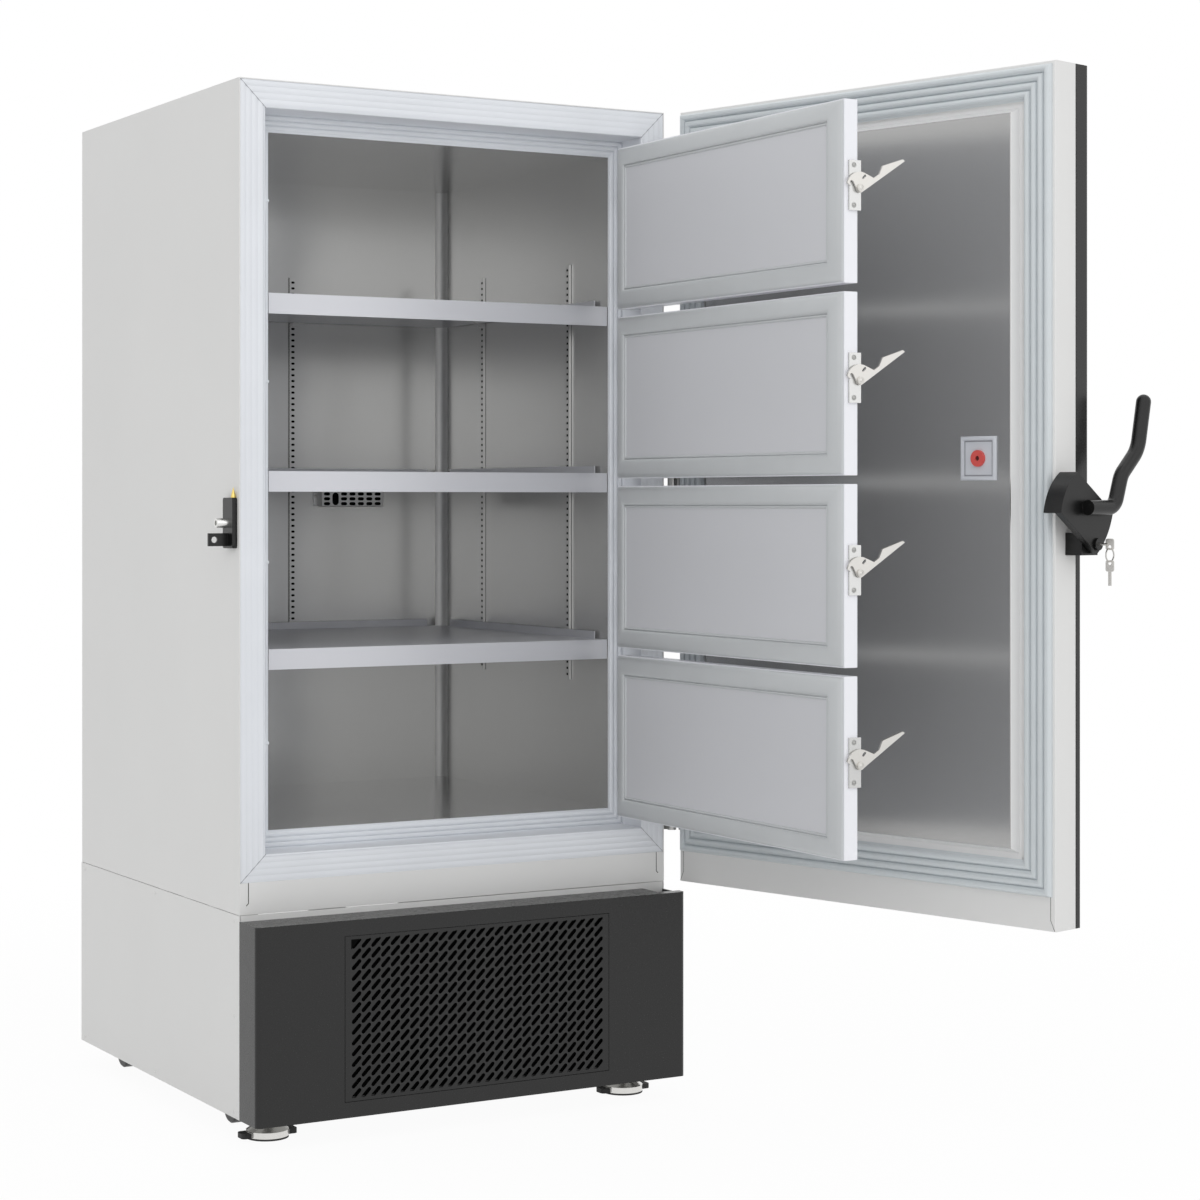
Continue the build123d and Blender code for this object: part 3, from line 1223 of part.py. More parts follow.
def make_fork(x, y):
    """Swivel plate, two cheeks and the axle; the wheel trails behind the kingpin."""
    with BuildPart() as fork:
        with BuildSketch(Plane.XY.offset(swivel_bottom)):
            with Locations((x, y)):
                Circle(SWIVEL_R)
        extrude(amount=SWIVEL_THICK)
        with BuildSketch(Plane.XY.offset(swivel_top)):
            with Locations((x, y)):
                Circle(KINGPIN_R)
        extrude(amount=CASTER_PLATE_THICK)
        for side in (-1, 1):
            with BuildSketch(Plane.YZ.offset(x + side * cheek_in)):
                with BuildLine():
                    Polyline(
                        (y - SWIVEL_R / 2, swivel_bottom),
                        (y + WHEEL_TRAIL - 2 * AXLE_R, WHEEL_R - 2 * AXLE_R),
                        (y + WHEEL_TRAIL + 2 * AXLE_R, WHEEL_R - 2 * AXLE_R),
                        (y + SWIVEL_R / 2, swivel_bottom),
                        close=True,
                    )
                make_face()
            extrude(amount=side * FORK_THICK)
        with BuildSketch(Plane.YZ.offset(x - cheek_in)):
            with Locations((y + WHEEL_TRAIL, WHEEL_R)):
                Circle(AXLE_R)
        extrude(amount=2 * cheek_in)
    return fork


def make_wheel(x, y):
    """Wheel with chamfered edges, bored for the axle."""
    with BuildPart() as wheel:
        with BuildSketch(Plane.YZ.offset(x - WHEEL_WIDTH / 2)):
            with Locations((y + WHEEL_TRAIL, WHEEL_R)):
                Circle(WHEEL_R)
        extrude(amount=WHEEL_WIDTH)
        chamfer(wheel.edges(), WHEEL_EDGE)
        with BuildSketch(Plane.YZ.offset(x - WHEEL_WIDTH / 2)):
            with Locations((y + WHEEL_TRAIL, WHEEL_R)):
                Circle(AXLE_R + RUN_CLEAR)
        extrude(amount=WHEEL_WIDTH, mode=Mode.SUBTRACT)
    return wheel


caster_names = ("front_left", "front_right", "rear_left", "rear_right")
for name, place in zip(caster_names, caster_places):
    save(make_fork(*place), f"caster_fork_{name}")
    save(make_wheel(*place), f"caster_wheel_{name}")


def make_foot(x, y):
    """Levelling foot: round pad with two finger wings, cone, neck and threaded stem."""
    with BuildPart() as foot:
        with BuildSketch(Plane.XZ.offset(-y)):
            with BuildLine():
                Polyline(
                    (x, 0),
                    (x + FOOT_PAD_R, 0),
                    (x + FOOT_PAD_R, FOOT_PAD),
                    (x + FOOT_NECK_R, FOOT_CONE_TOP),
                    (x + FOOT_NECK_R, FOOT_NECK_TOP),
                    (x + FOOT_STEM_R, FOOT_NECK_TOP),
                    (x + FOOT_STEM_R, pan_top + FOOT_STEM_RISE),
                    (x, pan_top + FOOT_STEM_RISE),
                    close=True,
                )
            make_face()
        revolve(axis=Axis((x, y, 0), (0, 0, 1)))
        with BuildSketch(Plane.XY.offset(FOOT_WING_BASE)):
            with Locations((x, y)):
                RectangleRounded(FOOT_WING_LENGTH, FOOT_WING_WIDTH, FOOT_WING_R)
        extrude(amount=FOOT_WING_THICK)
    return foot


for name, place in zip(("left", "right"), foot_places):
    save(make_foot(*place), f"foot_{name}")
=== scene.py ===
"""Looks of an upright ultra low temperature freezer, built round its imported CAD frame."""

import json
from math import atan2, cos, pi, radians, sin

import bmesh
import bpy
from bpy.props import FloatProperty, FloatVectorProperty, IntProperty, PointerProperty
from mathutils import Matrix, Vector


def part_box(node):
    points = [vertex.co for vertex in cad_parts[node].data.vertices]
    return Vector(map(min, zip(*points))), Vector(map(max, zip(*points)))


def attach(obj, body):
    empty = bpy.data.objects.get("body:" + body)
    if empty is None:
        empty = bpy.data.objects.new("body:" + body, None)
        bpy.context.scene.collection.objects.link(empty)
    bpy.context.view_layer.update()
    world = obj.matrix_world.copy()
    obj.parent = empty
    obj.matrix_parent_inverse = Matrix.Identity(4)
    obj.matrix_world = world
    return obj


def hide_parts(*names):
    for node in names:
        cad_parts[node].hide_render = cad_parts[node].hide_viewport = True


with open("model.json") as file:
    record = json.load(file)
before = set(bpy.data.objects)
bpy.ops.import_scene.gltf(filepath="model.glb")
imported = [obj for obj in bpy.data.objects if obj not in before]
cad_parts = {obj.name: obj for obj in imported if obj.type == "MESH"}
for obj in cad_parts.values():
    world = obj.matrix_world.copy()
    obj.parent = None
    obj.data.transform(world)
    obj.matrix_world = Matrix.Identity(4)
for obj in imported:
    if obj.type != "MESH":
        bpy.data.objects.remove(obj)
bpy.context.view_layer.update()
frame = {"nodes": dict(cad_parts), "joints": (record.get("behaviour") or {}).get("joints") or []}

bl_info = {
    "name": "Ultra low temperature freezer",
    "version": (1, 0, 0),
    "blender": (4, 5, 0),
    "location": "3D View > Sidebar > Freezer",
    "description": "Builds the seals, grille, fittings and finishes of a laboratory deep freezer",
    "category": "Object",
}

MM = 0.001
SMOOTH_ANGLE = radians(35)
INNER_DOORS = (1, 2, 3, 4)
SOFT_EDGE = 0.8 * MM
BRUSHING = (3.0, 3.0, 700.0)
STRIP_DEPTHS = (-204 * MM, 178 * MM)
COVER_TRIM = 9 * MM
CAMERA_PLACE = (-2.3835, -5.0795, 1.190)
CAMERA_TURN = -30.119
CAMERA_LENS = 80.85
CAMERA_SHIFT = -0.0817
LAMPS = (
    ("key_light", (-3.2, -4.4, 3.8), (0, -0.3, 1.1), 5.6, 54),
    ("front_light", (1.6, -5.8, 3.4), (0.2, -0.4, 1.0), 6.2, 60),
    ("top_light", (0.2, -0.6, 4.6), (0.1, -0.4, 1.0), 4.0, 26),
)

joints = {joint["name"]: joint for joint in frame["joints"]}
nodes = frame["nodes"]


def linear(*levels):
    """Scene-linear colour from screen levels of 0 to 255."""
    shares = [level / 255 for level in levels]
    return tuple(s / 12.92 if s <= 0.04045 else ((s + 0.055) / 1.055) ** 2.4 for s in shares)


def length(name, description, millimetres):
    """Length property, given in millimetres."""
    return FloatProperty(name=name, description=description, default=millimetres * MM, min=0, unit="LENGTH")


def count(name, description, number):
    """Whole number property of at least one."""
    return IntProperty(name=name, description=description, default=number, min=1)


def colour(name, description, *levels):
    """Colour property, given in screen levels."""
    return FloatVectorProperty(
        name=name, description=description, default=linear(*levels), min=0, max=1, size=3, subtype="COLOR"
    )


class FreezerSeals(bpy.types.PropertyGroup):
    """Sizes of the breaker frame and the door seals"""

    lobes: count("Breaker lobes", "Soft ribs round the opening's face", 4)
    lobe_depth: length("Lobe depth", "How deep the grooves between the breaker lobes are", 1.4)
    step_ribs: count("Step ribs", "Ribs on the step behind the inner doors", 3)
    seal_lobes: count("Seal lobes", "Soft ribs of the outer door seal", 4)
    seal_groove: length("Seal groove", "Depth of the grooves in the outer door seal", 7.5)
    bead: length("Bead", "Thin bead inside the inner door seals", 5)


class FreezerPanels(bpy.types.PropertyGroup):
    """Sizes of the perforated panels and the fasteners"""

    slot_length: length("Grille slot length", "Length of a slanted grille slot", 25)
    slot_width: length("Grille slot width", "Width of a slanted grille slot", 7.8)
    slot_pitch: length("Grille slot pitch", "Distance between grille slots, both ways", 20)
    hole_pitch: length("Pilaster hole pitch", "Distance between the holes of the shelf pilasters", 12.7)
    screw_radius: length("Screw radius", "Radius of the panel screws' domed heads", 4)
    screw_height: length("Screw height", "How far the panel screws stand out", 1.6)
    rivet_radius: length("Rivet radius", "Radius of the ring on the latch rivets", 3.7)
    seam_width: length("Seam width", "Width of the dark gaps between folded sheets", 1.4)


class FreezerColours(bpy.types.PropertyGroup):
    """Colours of the finishes"""

    casing: colour("Casing", "Powder coat of the casing and doors", 226, 226, 225)
    breaker: colour("Breaker frame", "Plastic frame round the opening", 226, 229, 234)
    stainless: colour("Stainless", "Brushed liner and plug panel", 204, 204, 203)
    black: colour("Black moulding", "Grained mouldings on the door and in front", 10, 10, 10)
    inner_panel: colour("Inner door panel", "Sheet on the inner doors' backs", 209, 210, 214)
    inner_slab: colour("Inner door slab", "Moulded slabs of the inner doors", 240, 241, 246)
    inner_seal: colour("Inner seal", "Seals on the inner doors", 198, 201, 203)
    outer_seal: colour("Outer seal", "Ribbed seal of the outer door", 208, 214, 217)
    vent: colour("Vent port", "Moulded frame of the vent port", 204, 207, 213)
    plug: colour("Vent plug", "Soft plug of the vent port", 214, 84, 78)
    brass: colour("Brass", "Pointed stud on the striker", 232, 207, 124)


class FreezerSettings(bpy.types.PropertyGroup):
    """Everything a user would change"""

    seals: PointerProperty(type=FreezerSeals)
    panels: PointerProperty(type=FreezerPanels)
    colours: PointerProperty(type=FreezerColours)


class Wire:
    """Node socket on which arithmetic adds Math nodes."""

    def __init__(self, graph, socket):
        self.graph = graph
        self.socket = socket

    def math(self, operation, first, second=0.0):
        return self.graph.node("ShaderNodeMath", {"operation": operation}, {0: first, 1: second})

    def __add__(self, other):
        return self.math("ADD", self, other)

    __radd__ = __add__

    def __sub__(self, other):
        return self.math("SUBTRACT", self, other)

    def __rsub__(self, other):
        return self.math("SUBTRACT", other, self)

    def __mul__(self, other):
        return self.math("MULTIPLY", self, other)

    __rmul__ = __mul__

    def __neg__(self):
        return self.math("MULTIPLY", self, -1.0)

    def __gt__(self, other):
        return self.math("GREATER_THAN", self, other)

    def __lt__(self, other):
        return self.math("LESS_THAN", self, other)

    def at_most(self, other):
        return self.math("MINIMUM", self, other)

    def at_least(self, other):
        return self.math("MAXIMUM", self, other)


class Graph:
    """Node tree that is filled by one method."""

    def __init__(self, tree):
        self.tree = tree

    def feed(self, socket, value):
        if isinstance(value, Wire):
            self.tree.links.new(value.socket, socket)
        else:
            socket.default_value = value

    def node(self, kind, settings=None, sockets=None, output=0):
        """Add a node: its settings first, then the values or links of its sockets."""
        node = self.tree.nodes.new(kind)
        for key, value in (settings or {}).items():
            if key == "stops":
                for stop, (position, shade) in zip(node.color_ramp.elements, value):
                    stop.position = position
                    stop.color = (*shade, 1.0)
            else:
                setattr(node, key, value)
        for key, value in (sockets or {}).items():
            self.feed(node.inputs[key], value)
        return Wire(self, node.outputs[output])


class Finish(Graph):
    """Material with one surface shader, built from nodes on Object coordinates."""

    def __init__(self, name):
        self.material = bpy.data.materials.new(name)
        self.material.use_nodes = True
        super().__init__(self.material.node_tree)
        self.shader = self.tree.nodes["Principled BSDF"]
        self.place = self.node("ShaderNodeTexCoord", output="Object")

    def surface(self, **sockets):
        for name, value in sockets.items():
            self.feed(self.shader.inputs[name.replace("_", " ")], value)
        return self.material

    def scaled(self, *scale):
        return self.node("ShaderNodeMapping", sockets={"Vector": self.place, "Scale": scale})

    def noise(self, scale, detail=3.0, vector=None):
        return self.node(
            "ShaderNodeTexNoise",
            sockets={"Vector": vector or self.place, "Scale": scale, "Detail": detail},
        )

    def waves(self, direction, scale):
        """Even stripes across X or Z."""
        return self.node(
            "ShaderNodeTexWave", {"bands_direction": direction}, {"Vector": self.place, "Scale": scale}
        )

    def mix(self, share, first, second):
        return self.node("ShaderNodeMix", {"data_type": "RGBA"}, {0: share, 6: first, 7: second}, output=2)

    def tint(self, share, shade, low, high):
        """A colour that varies between two strengths of itself."""
        return self.mix(share, shaded(shade, low), shaded(shade, high))

    def relief(self, height, depth, edge=0.0):
        """Normal of a fine relief, on rounded edges where a radius is given."""
        sockets = {"Height": height, "Distance": depth * MM}
        if edge:
            sockets["Normal"] = self.node("ShaderNodeBevel", {"samples": 4}, {"Radius": edge})
        return self.node("ShaderNodeBump", sockets=sockets)

    def along(self, axis):
        """Object coordinate along X, Y or Z."""
        return self.node("ShaderNodeSeparateXYZ", sockets={0: self.place}, output=axis)

    def off(self, place):
        """Distance along the Y axis of a frame, from its origin."""
        axis = place.col[1].xyz
        reach = self.node(
            "ShaderNodeVectorMath", {"operation": "DOT_PRODUCT"}, {0: self.place, 1: axis}, output="Value"
        )
        return reach - axis.dot(place.translation)

    def radius(self, x, y):
        """Distance from an upright line on either side of the middle."""
        off = self.node("ShaderNodeMath", {"operation": "ABSOLUTE"}, {0: self.along(0)}) - x
        deep = self.along(1) - y
        return self.node("ShaderNodeMath", {"operation": "SQRT"}, {0: off * off + deep * deep})


def shaded(shade, strength):
    return (*[min(1.0, level * strength) for level in shade[:3]], 1.0)


def painted(name, shade, roughness=0.42):
    """Powder coat with a fine orange peel and faint cloudy unevenness."""
    finish = Finish(name)
    clouds = finish.noise(3.0)
    peel = finish.noise(900.0, 2.0)
    return finish.surface(
        Base_Color=finish.tint(clouds, shade, 0.97, 1.02),
        Roughness=roughness + 0.08 * finish.noise(40.0) - 0.04,
        Normal=finish.relief(peel, 0.02, SOFT_EDGE),
        Specular_IOR_Level=0.4,
    )


def moulded(name, shade, roughness=0.5, grain=0.05, gloss=0.5):
    """Moulded plastic with a leathery grain."""
    finish = Finish(name)
    pits = finish.node(
        "ShaderNodeTexVoronoi", {"feature": "SMOOTH_F1"}, {"Vector": finish.place, "Scale": 700.0}
    )
    flow = finish.noise(5.0)
    return finish.surface(
        Base_Color=finish.tint(flow, shade, 0.94, 1.05),
        Roughness=roughness + 0.12 * finish.noise(60.0) - 0.06,
        Normal=finish.relief(pits, grain, SOFT_EDGE),
        Specular_IOR_Level=gloss,
    )


def sealing(name, shade):
    """Soft extruded seal with a waxy sheen and faint streaks."""
    finish = Finish(name)
    mottle = finish.noise(14.0, 4.0)
    return finish.surface(
        Base_Color=finish.tint(mottle, shade, 0.95, 1.03),
        Roughness=0.46 + 0.14 * finish.noise(90.0) - 0.07,
        Normal=finish.relief(finish.noise(420.0), 0.03),
        Sheen_Weight=0.05,
    )


def brushed(name, shade, stretch, roughness=0.2, metal=0.7):
    """Brushed steel: fine streaks along the direction that is least stretched."""
    finish = Finish(name)
    lines = finish.noise(1.0, 6.0, finish.scaled(*stretch))
    clouds = finish.noise(2.2)
    return finish.surface(
        Base_Color=finish.tint(lines * 0.5 + clouds * 0.5, shade, 0.97, 1.02),
        Metallic=metal,
        Roughness=roughness + 0.05 * lines - 0.025,
        Normal=finish.relief(lines, 0.001),
    )


def plugged(shade, skirt):
    """Plug panel of the outer door: brushed face, darkened by its caller for painted shade, paler where it
    is folded back to the seal.
    """
    finish = Finish("plug_panel")
    lines = finish.noise(1.0, 6.0, finish.scaled(*BRUSHING))
    fold = finish.off(OUTER) < box_in(OUTER, "door_liner")[1].y - 1.5 * MM
    streaks = lines * 0.5 + finish.noise(2.2) * 0.5
    face, folded = (finish.tint(streaks, tone, 0.97, 1.02) for tone in (shade, skirt))
    return finish.surface(
        Base_Color=finish.mix(fold, face, folded),
        Metallic=0.9 - 0.8 * fold,
        Roughness=0.2 + 0.25 * fold + 0.05 * lines,
        Normal=finish.relief(lines, 0.001),
    )


def bright(name, shade, roughness=0.16):
    """Polished or plated steel with faint handling marks."""
    finish = Finish(name)
    marks = finish.noise(55.0, 5.0)
    return finish.surface(
        Base_Color=finish.tint(marks, shade, 0.93, 1.04),
        Metallic=1.0,
        Roughness=roughness + 0.1 * marks - 0.05,
        Normal=finish.relief(finish.noise(300.0), 0.008),
    )


def footed():
    """Levelling foot: chrome cone on a black rubber rim, with black wings."""
    finish = Finish("levelling_foot")
    x, y, _ = joints["foot_right_turn"]["pos_m"]
    rim = finish.along(2) < 3.6 * MM
    rubber = rim.at_least(finish.radius(abs(x), y) > 40.4 * MM)
    marks = finish.noise(120.0)
    chrome = finish.tint(marks, linear(222, 221, 218), 0.92, 1.03)
    return finish.surface(
        Base_Color=finish.mix(rubber, chrome, (*linear(30, 30, 30), 1.0)),
        Metallic=1.0 - rubber,
        Roughness=0.2 + 0.4 * rubber + 0.06 * marks,
        Normal=finish.relief(marks, 0.02),
    )


def striking(brass):
    """Striker pin: turned steel, with the brass stud that stands on the block."""
    finish = Finish("striker_metal")
    stud = finish.along(2) > box_in(STANDING, "striker_block")[1].z
    marks = finish.noise(90.0, 4.0)
    steel = finish.tint(marks, linear(224, 224, 222), 0.9, 1.04)
    return finish.surface(
        Base_Color=finish.mix(stud, steel, finish.tint(marks, brass, 0.9, 1.05)),
        Metallic=1.0,
        Roughness=0.18 + 0.12 * marks + 0.06 * stud,
        Normal=finish.relief(marks, 0.01),
    )


def fitted(plastic):
    """Fittings in the recess: plastic keepers on the left, plated hinge brackets on the right."""
    finish = Finish("recess_fittings")
    hinges = finish.along(0) > 0.0
    marks = finish.noise(70.0, 4.0)
    steel = finish.tint(marks, linear(205, 205, 203), 0.92, 1.04)
    return finish.surface(
        Base_Color=finish.mix(hinges, finish.tint(marks, plastic, 0.96, 1.02), steel),
        Metallic=hinges,
        Roughness=0.45 - 0.2 * hinges + 0.08 * marks,
        Normal=finish.relief(marks, 0.01, SOFT_EDGE),
    )


def finned(name, shade):
    """Condenser coil: close upright fins, with dark stripes of painted shade between them."""
    finish = Finish(name)
    fins = finish.waves("X", 95.0)
    return finish.surface(
        Base_Color=finish.tint(fins, shade, 0.25, 1.0),
        Metallic=0.9,
        Roughness=0.35 + 0.2 * fins,
        Normal=finish.relief(fins, 0.8),
    )


def meshed(name, shade):
    """Filter mat: a fine woven mesh."""
    finish = Finish(name)
    weave = finish.waves("X", 160.0) * finish.waves("Z", 160.0)
    return finish.surface(
        Base_Color=finish.tint(weave, shade, 0.4, 1.3),
        Roughness=0.9 - 0.15 * weave,
        Normal=finish.relief(weave, 0.3),
        Specular_IOR_Level=0.05,
    )


def make_finishes(colours):
    """One material for each finish of the freezer, by the record's slot."""
    black = tuple(colours.black)
    return {
        "casing_paint": painted("casing_paint", colours.casing),
        "breaker_plastic": moulded("breaker_plastic", colours.breaker, 0.4, 0.02),
        "stainless": brushed("stainless", colours.stainless, BRUSHING),
        # The plug face is the liner steel darkened to 74 %: painted shade for the dark inner doors that it
        # reflects.
        "plug_panel": plugged(shaded(colours.stainless, 0.74), linear(226, 226, 226)),
        "shelf_steel": brushed("shelf_steel", linear(201, 202, 207), BRUSHING, 0.3, 0.4),
        # Paler, less metallic copy of the liner steel: painted highlight for the corner bends and the probe
        # cover.
        "liner_cove": brushed("liner_cove", linear(230, 230, 229), BRUSHING, 0.45, 0.4),
        # Grey line: the breaker's mitre joints, and painted shade at the bottom of the vent groove.
        "mitre_line": sealing("mitre_line", linear(150, 152, 157)),
        "insulation": moulded("insulation", linear(226, 212, 168), 0.8, 0.4),
        "black_moulding": moulded("black_moulding", black, 0.27, 0.012),
        "black_steel": painted("black_steel", black, 0.34),
        "inner_panel": painted("inner_panel", colours.inner_panel, 0.4),
        "door_gasket": sealing("door_gasket", colours.outer_seal),
        "inner_gasket": sealing("inner_gasket", colours.inner_seal),
        "polished_steel": bright("polished_steel", linear(207, 205, 201), 0.34),
        "plated_steel": bright("plated_steel", linear(168, 168, 166), 0.3),
        "display": moulded("display", linear(24, 28, 32), 0.12, 0.0),
        "vent_white": moulded("vent_white", colours.vent, 0.45, 0.02),
        "vent_red": sealing("vent_red", colours.plug),
        # Plug red darkened to 12 %: painted shade for the bottom of the plug's hole.
        "vent_hole": sealing("vent_hole", shaded(colours.plug, 0.12)),
        "aluminium_fins": finned("aluminium_fins", linear(200, 201, 203)),
        "compressor_paint": painted("compressor_paint", linear(34, 34, 35), 0.25),
        "caster_rubber": sealing("caster_rubber", linear(40, 40, 41)),
        "filter_mesh": meshed("filter_mesh", linear(9, 9, 9)),
        # Matte black for the sheet seams, and for painted shade behind the strip holes and inside the probe
        # cover.
        "dark_gap": moulded("dark_gap", linear(9, 9, 9), 0.9, 0.02, 0.05),
        "inner_slab": painted("inner_slab", colours.inner_slab, 0.35),
        "levelling_foot": footed(),
        "striker_metal": striking(colours.brass),
        "recess_fittings": fitted(colours.breaker),
    }


finishes = {}
OWN_FINISH = {
    "striker_pin": "striker_metal",
    "inner_brackets": "recess_fittings",
    "door_liner": "plug_panel",
    "shelves": "shelf_steel",
}


def hinged(swing, along, sign):
    """Where a door drawn closed stands open: its hinge line and the direction of its free edge."""
    at = joints[swing]["pos_m"]
    axis = joints[along]["axis"]
    angle = atan2(sign * axis[1], sign * axis[0])
    return Matrix.Translation((at[0], at[1], 0)) @ Matrix.Rotation(angle, 4, "Z")


STANDING = Matrix.Identity(4)
OUTER = hinged("door_swing", "handle_turn", -1)
INNER = hinged("inner_door_1_swing", "latch_1_turn", 1)


def box_in(place, node):
    """Lowest and highest corner of a CAD node in a door's own frame."""
    back = place.inverted()
    points = [back @ vertex.co for vertex in nodes[node].data.vertices]
    low = Vector([min(p[i] for p in points) for i in range(3)])
    high = Vector([max(p[i] for p in points) for i in range(3)])
    return low, high


def show(name, mesh, body, slot, finish=None):
    """Mesh as a piece that rides on a body, with its slot's finish unless another one is named."""
    mesh.shade_smooth()
    mesh.set_sharp_from_angle(angle=SMOOTH_ANGLE)
    piece = bpy.data.objects.new(name, mesh)
    bpy.context.scene.collection.objects.link(piece)
    mesh.materials.clear()
    mesh.materials.append(finishes[finish or slot])
    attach(piece, body)
    return piece


def mesh_from(bm, name, place=STANDING):
    """Plain mesh with outward faces, where the place puts it."""
    bmesh.ops.recalc_face_normals(bm, faces=bm.faces)
    bm.transform(place)
    mesh = bpy.data.meshes.new(name)
    bm.to_mesh(mesh)
    bm.free()
    return mesh


def form(name, bm, body, slot, place=STANDING, finish=None):
    """Drawn shape as a piece."""
    return show(name, mesh_from(bm, name, place), body, slot, finish)


def mitred_ring(profile, low, high, bm=None):
    """Profile of (inset, depth) points swept round an upright rectangle, with mitred corners."""
    bm = bm or bmesh.new()
    loops = []
    for inset, depth in profile:
        left = low[0] + inset
        right = high[0] - inset
        bottom = low[2] + inset
        top = high[2] - inset
        corners = ((left, bottom), (right, bottom), (right, top), (left, top))
        loops.append([bm.verts.new((x, depth, z)) for x, z in corners])
    for near, far in zip(loops, loops[1:] + loops[:1]):
        for i in range(4):
            j = (i + 1) % 4
            bm.faces.new((near[i], near[j], far[j], far[i]))
    return bm


def lobed(start, end, count, crest, valley, power=0.6, steps=10):
    """Soft ribs from one inset to another: (inset, depth) points that swell from valley to crest."""
    points = []
    for i in range(count):
        for step in range(steps):
            share = step / steps
            swell = sin(pi * share) ** power
            points.append((start + (end - start) * (i + share) / count, valley + (crest - valley) * swell))
    points.append((end, valley))
    return points


def arc(centre, radius, start, end, steps=4):
    """Points of an arc in (inset, depth), by angles in degrees."""
    angles = [radians(start + (end - start) * i / steps) for i in range(steps + 1)]
    return [(centre[0] + radius * cos(a), centre[1] + radius * sin(a)) for a in angles]


def soft_box(bm, low, high, radius, segments=2):
    """Box with rounded edges, added to a bmesh."""
    size = Vector(high) - Vector(low)
    middle = (Vector(high) + Vector(low)) / 2
    made = bmesh.ops.create_cube(bm, matrix=Matrix.LocRotScale(middle, None, size))
    if radius:
        edges = {edge for vertex in made["verts"] for edge in vertex.link_edges}
        bmesh.ops.bevel(bm, geom=list(edges), offset=radius, segments=segments, profile=0.5, affect="EDGES")
    return bm


def bake(tree, identifiers, sizes, name, mesh=None):
    """Run a geometry tree on a mesh with the given sizes and return the result as a plain mesh."""
    holder = bpy.data.objects.new(name, mesh or bpy.data.meshes.new(name))
    bpy.context.scene.collection.objects.link(holder)
    modifier = holder.modifiers.new(name, "NODES")
    modifier.node_group = tree
    for key, value in sizes.items():
        modifier[identifiers[key]] = value
    shown = holder.evaluated_get(bpy.context.evaluated_depsgraph_get())
    result = bpy.data.meshes.new_from_object(shown)
    holder.modifiers.remove(modifier)
    bpy.data.objects.remove(holder)
    return result


SOCKET_KINDS = {"Columns": "NodeSocketInt", "Rows": "NodeSocketInt", "Material": "NodeSocketMaterial"}
HEAD_INPUTS = ("Radius", "Height", "Base", "Material")
SHEET_INPUTS = (
    "Width", "Height", "Thickness", "Slot Length", "Slot Width", "Tilt", "Pitch X", "Pitch Z",
    "Columns", "Rows", "Margin X", "Margin Z", "Material",
)


def geometry_tree(name, inputs):
    """Empty geometry tree with a mesh in, a mesh out and named inputs."""
    tree = bpy.data.node_groups.new(name, "GeometryNodeTree")
    tree.interface.new_socket(name="Mesh", in_out="INPUT", socket_type="NodeSocketGeometry")
    tree.interface.new_socket(name="Mesh", in_out="OUTPUT", socket_type="NodeSocketGeometry")
    identifiers = {}
    for key in inputs:
        kind = SOCKET_KINDS.get(key, "NodeSocketFloat")
        socket = tree.interface.new_socket(name=key, in_out="INPUT", socket_type=kind)
        identifiers[key] = socket.identifier
    graph = Graph(tree)
    entry = tree.nodes.new("NodeGroupInput")
    wires = {key: Wire(graph, entry.outputs[key]) for key in ("Mesh", *inputs)}
    return graph, wires, identifiers


def close_tree(graph, geometry, material):
    """End a tree in Realize Instances and Set Material."""
    real = graph.node("GeometryNodeRealizeInstances", sockets={0: geometry})
    dressed = graph.node("GeometryNodeSetMaterial", sockets={"Geometry": real, "Material": material})
    leave = graph.tree.nodes.new("NodeGroupOutput")
    graph.feed(leave.inputs[0], dressed)


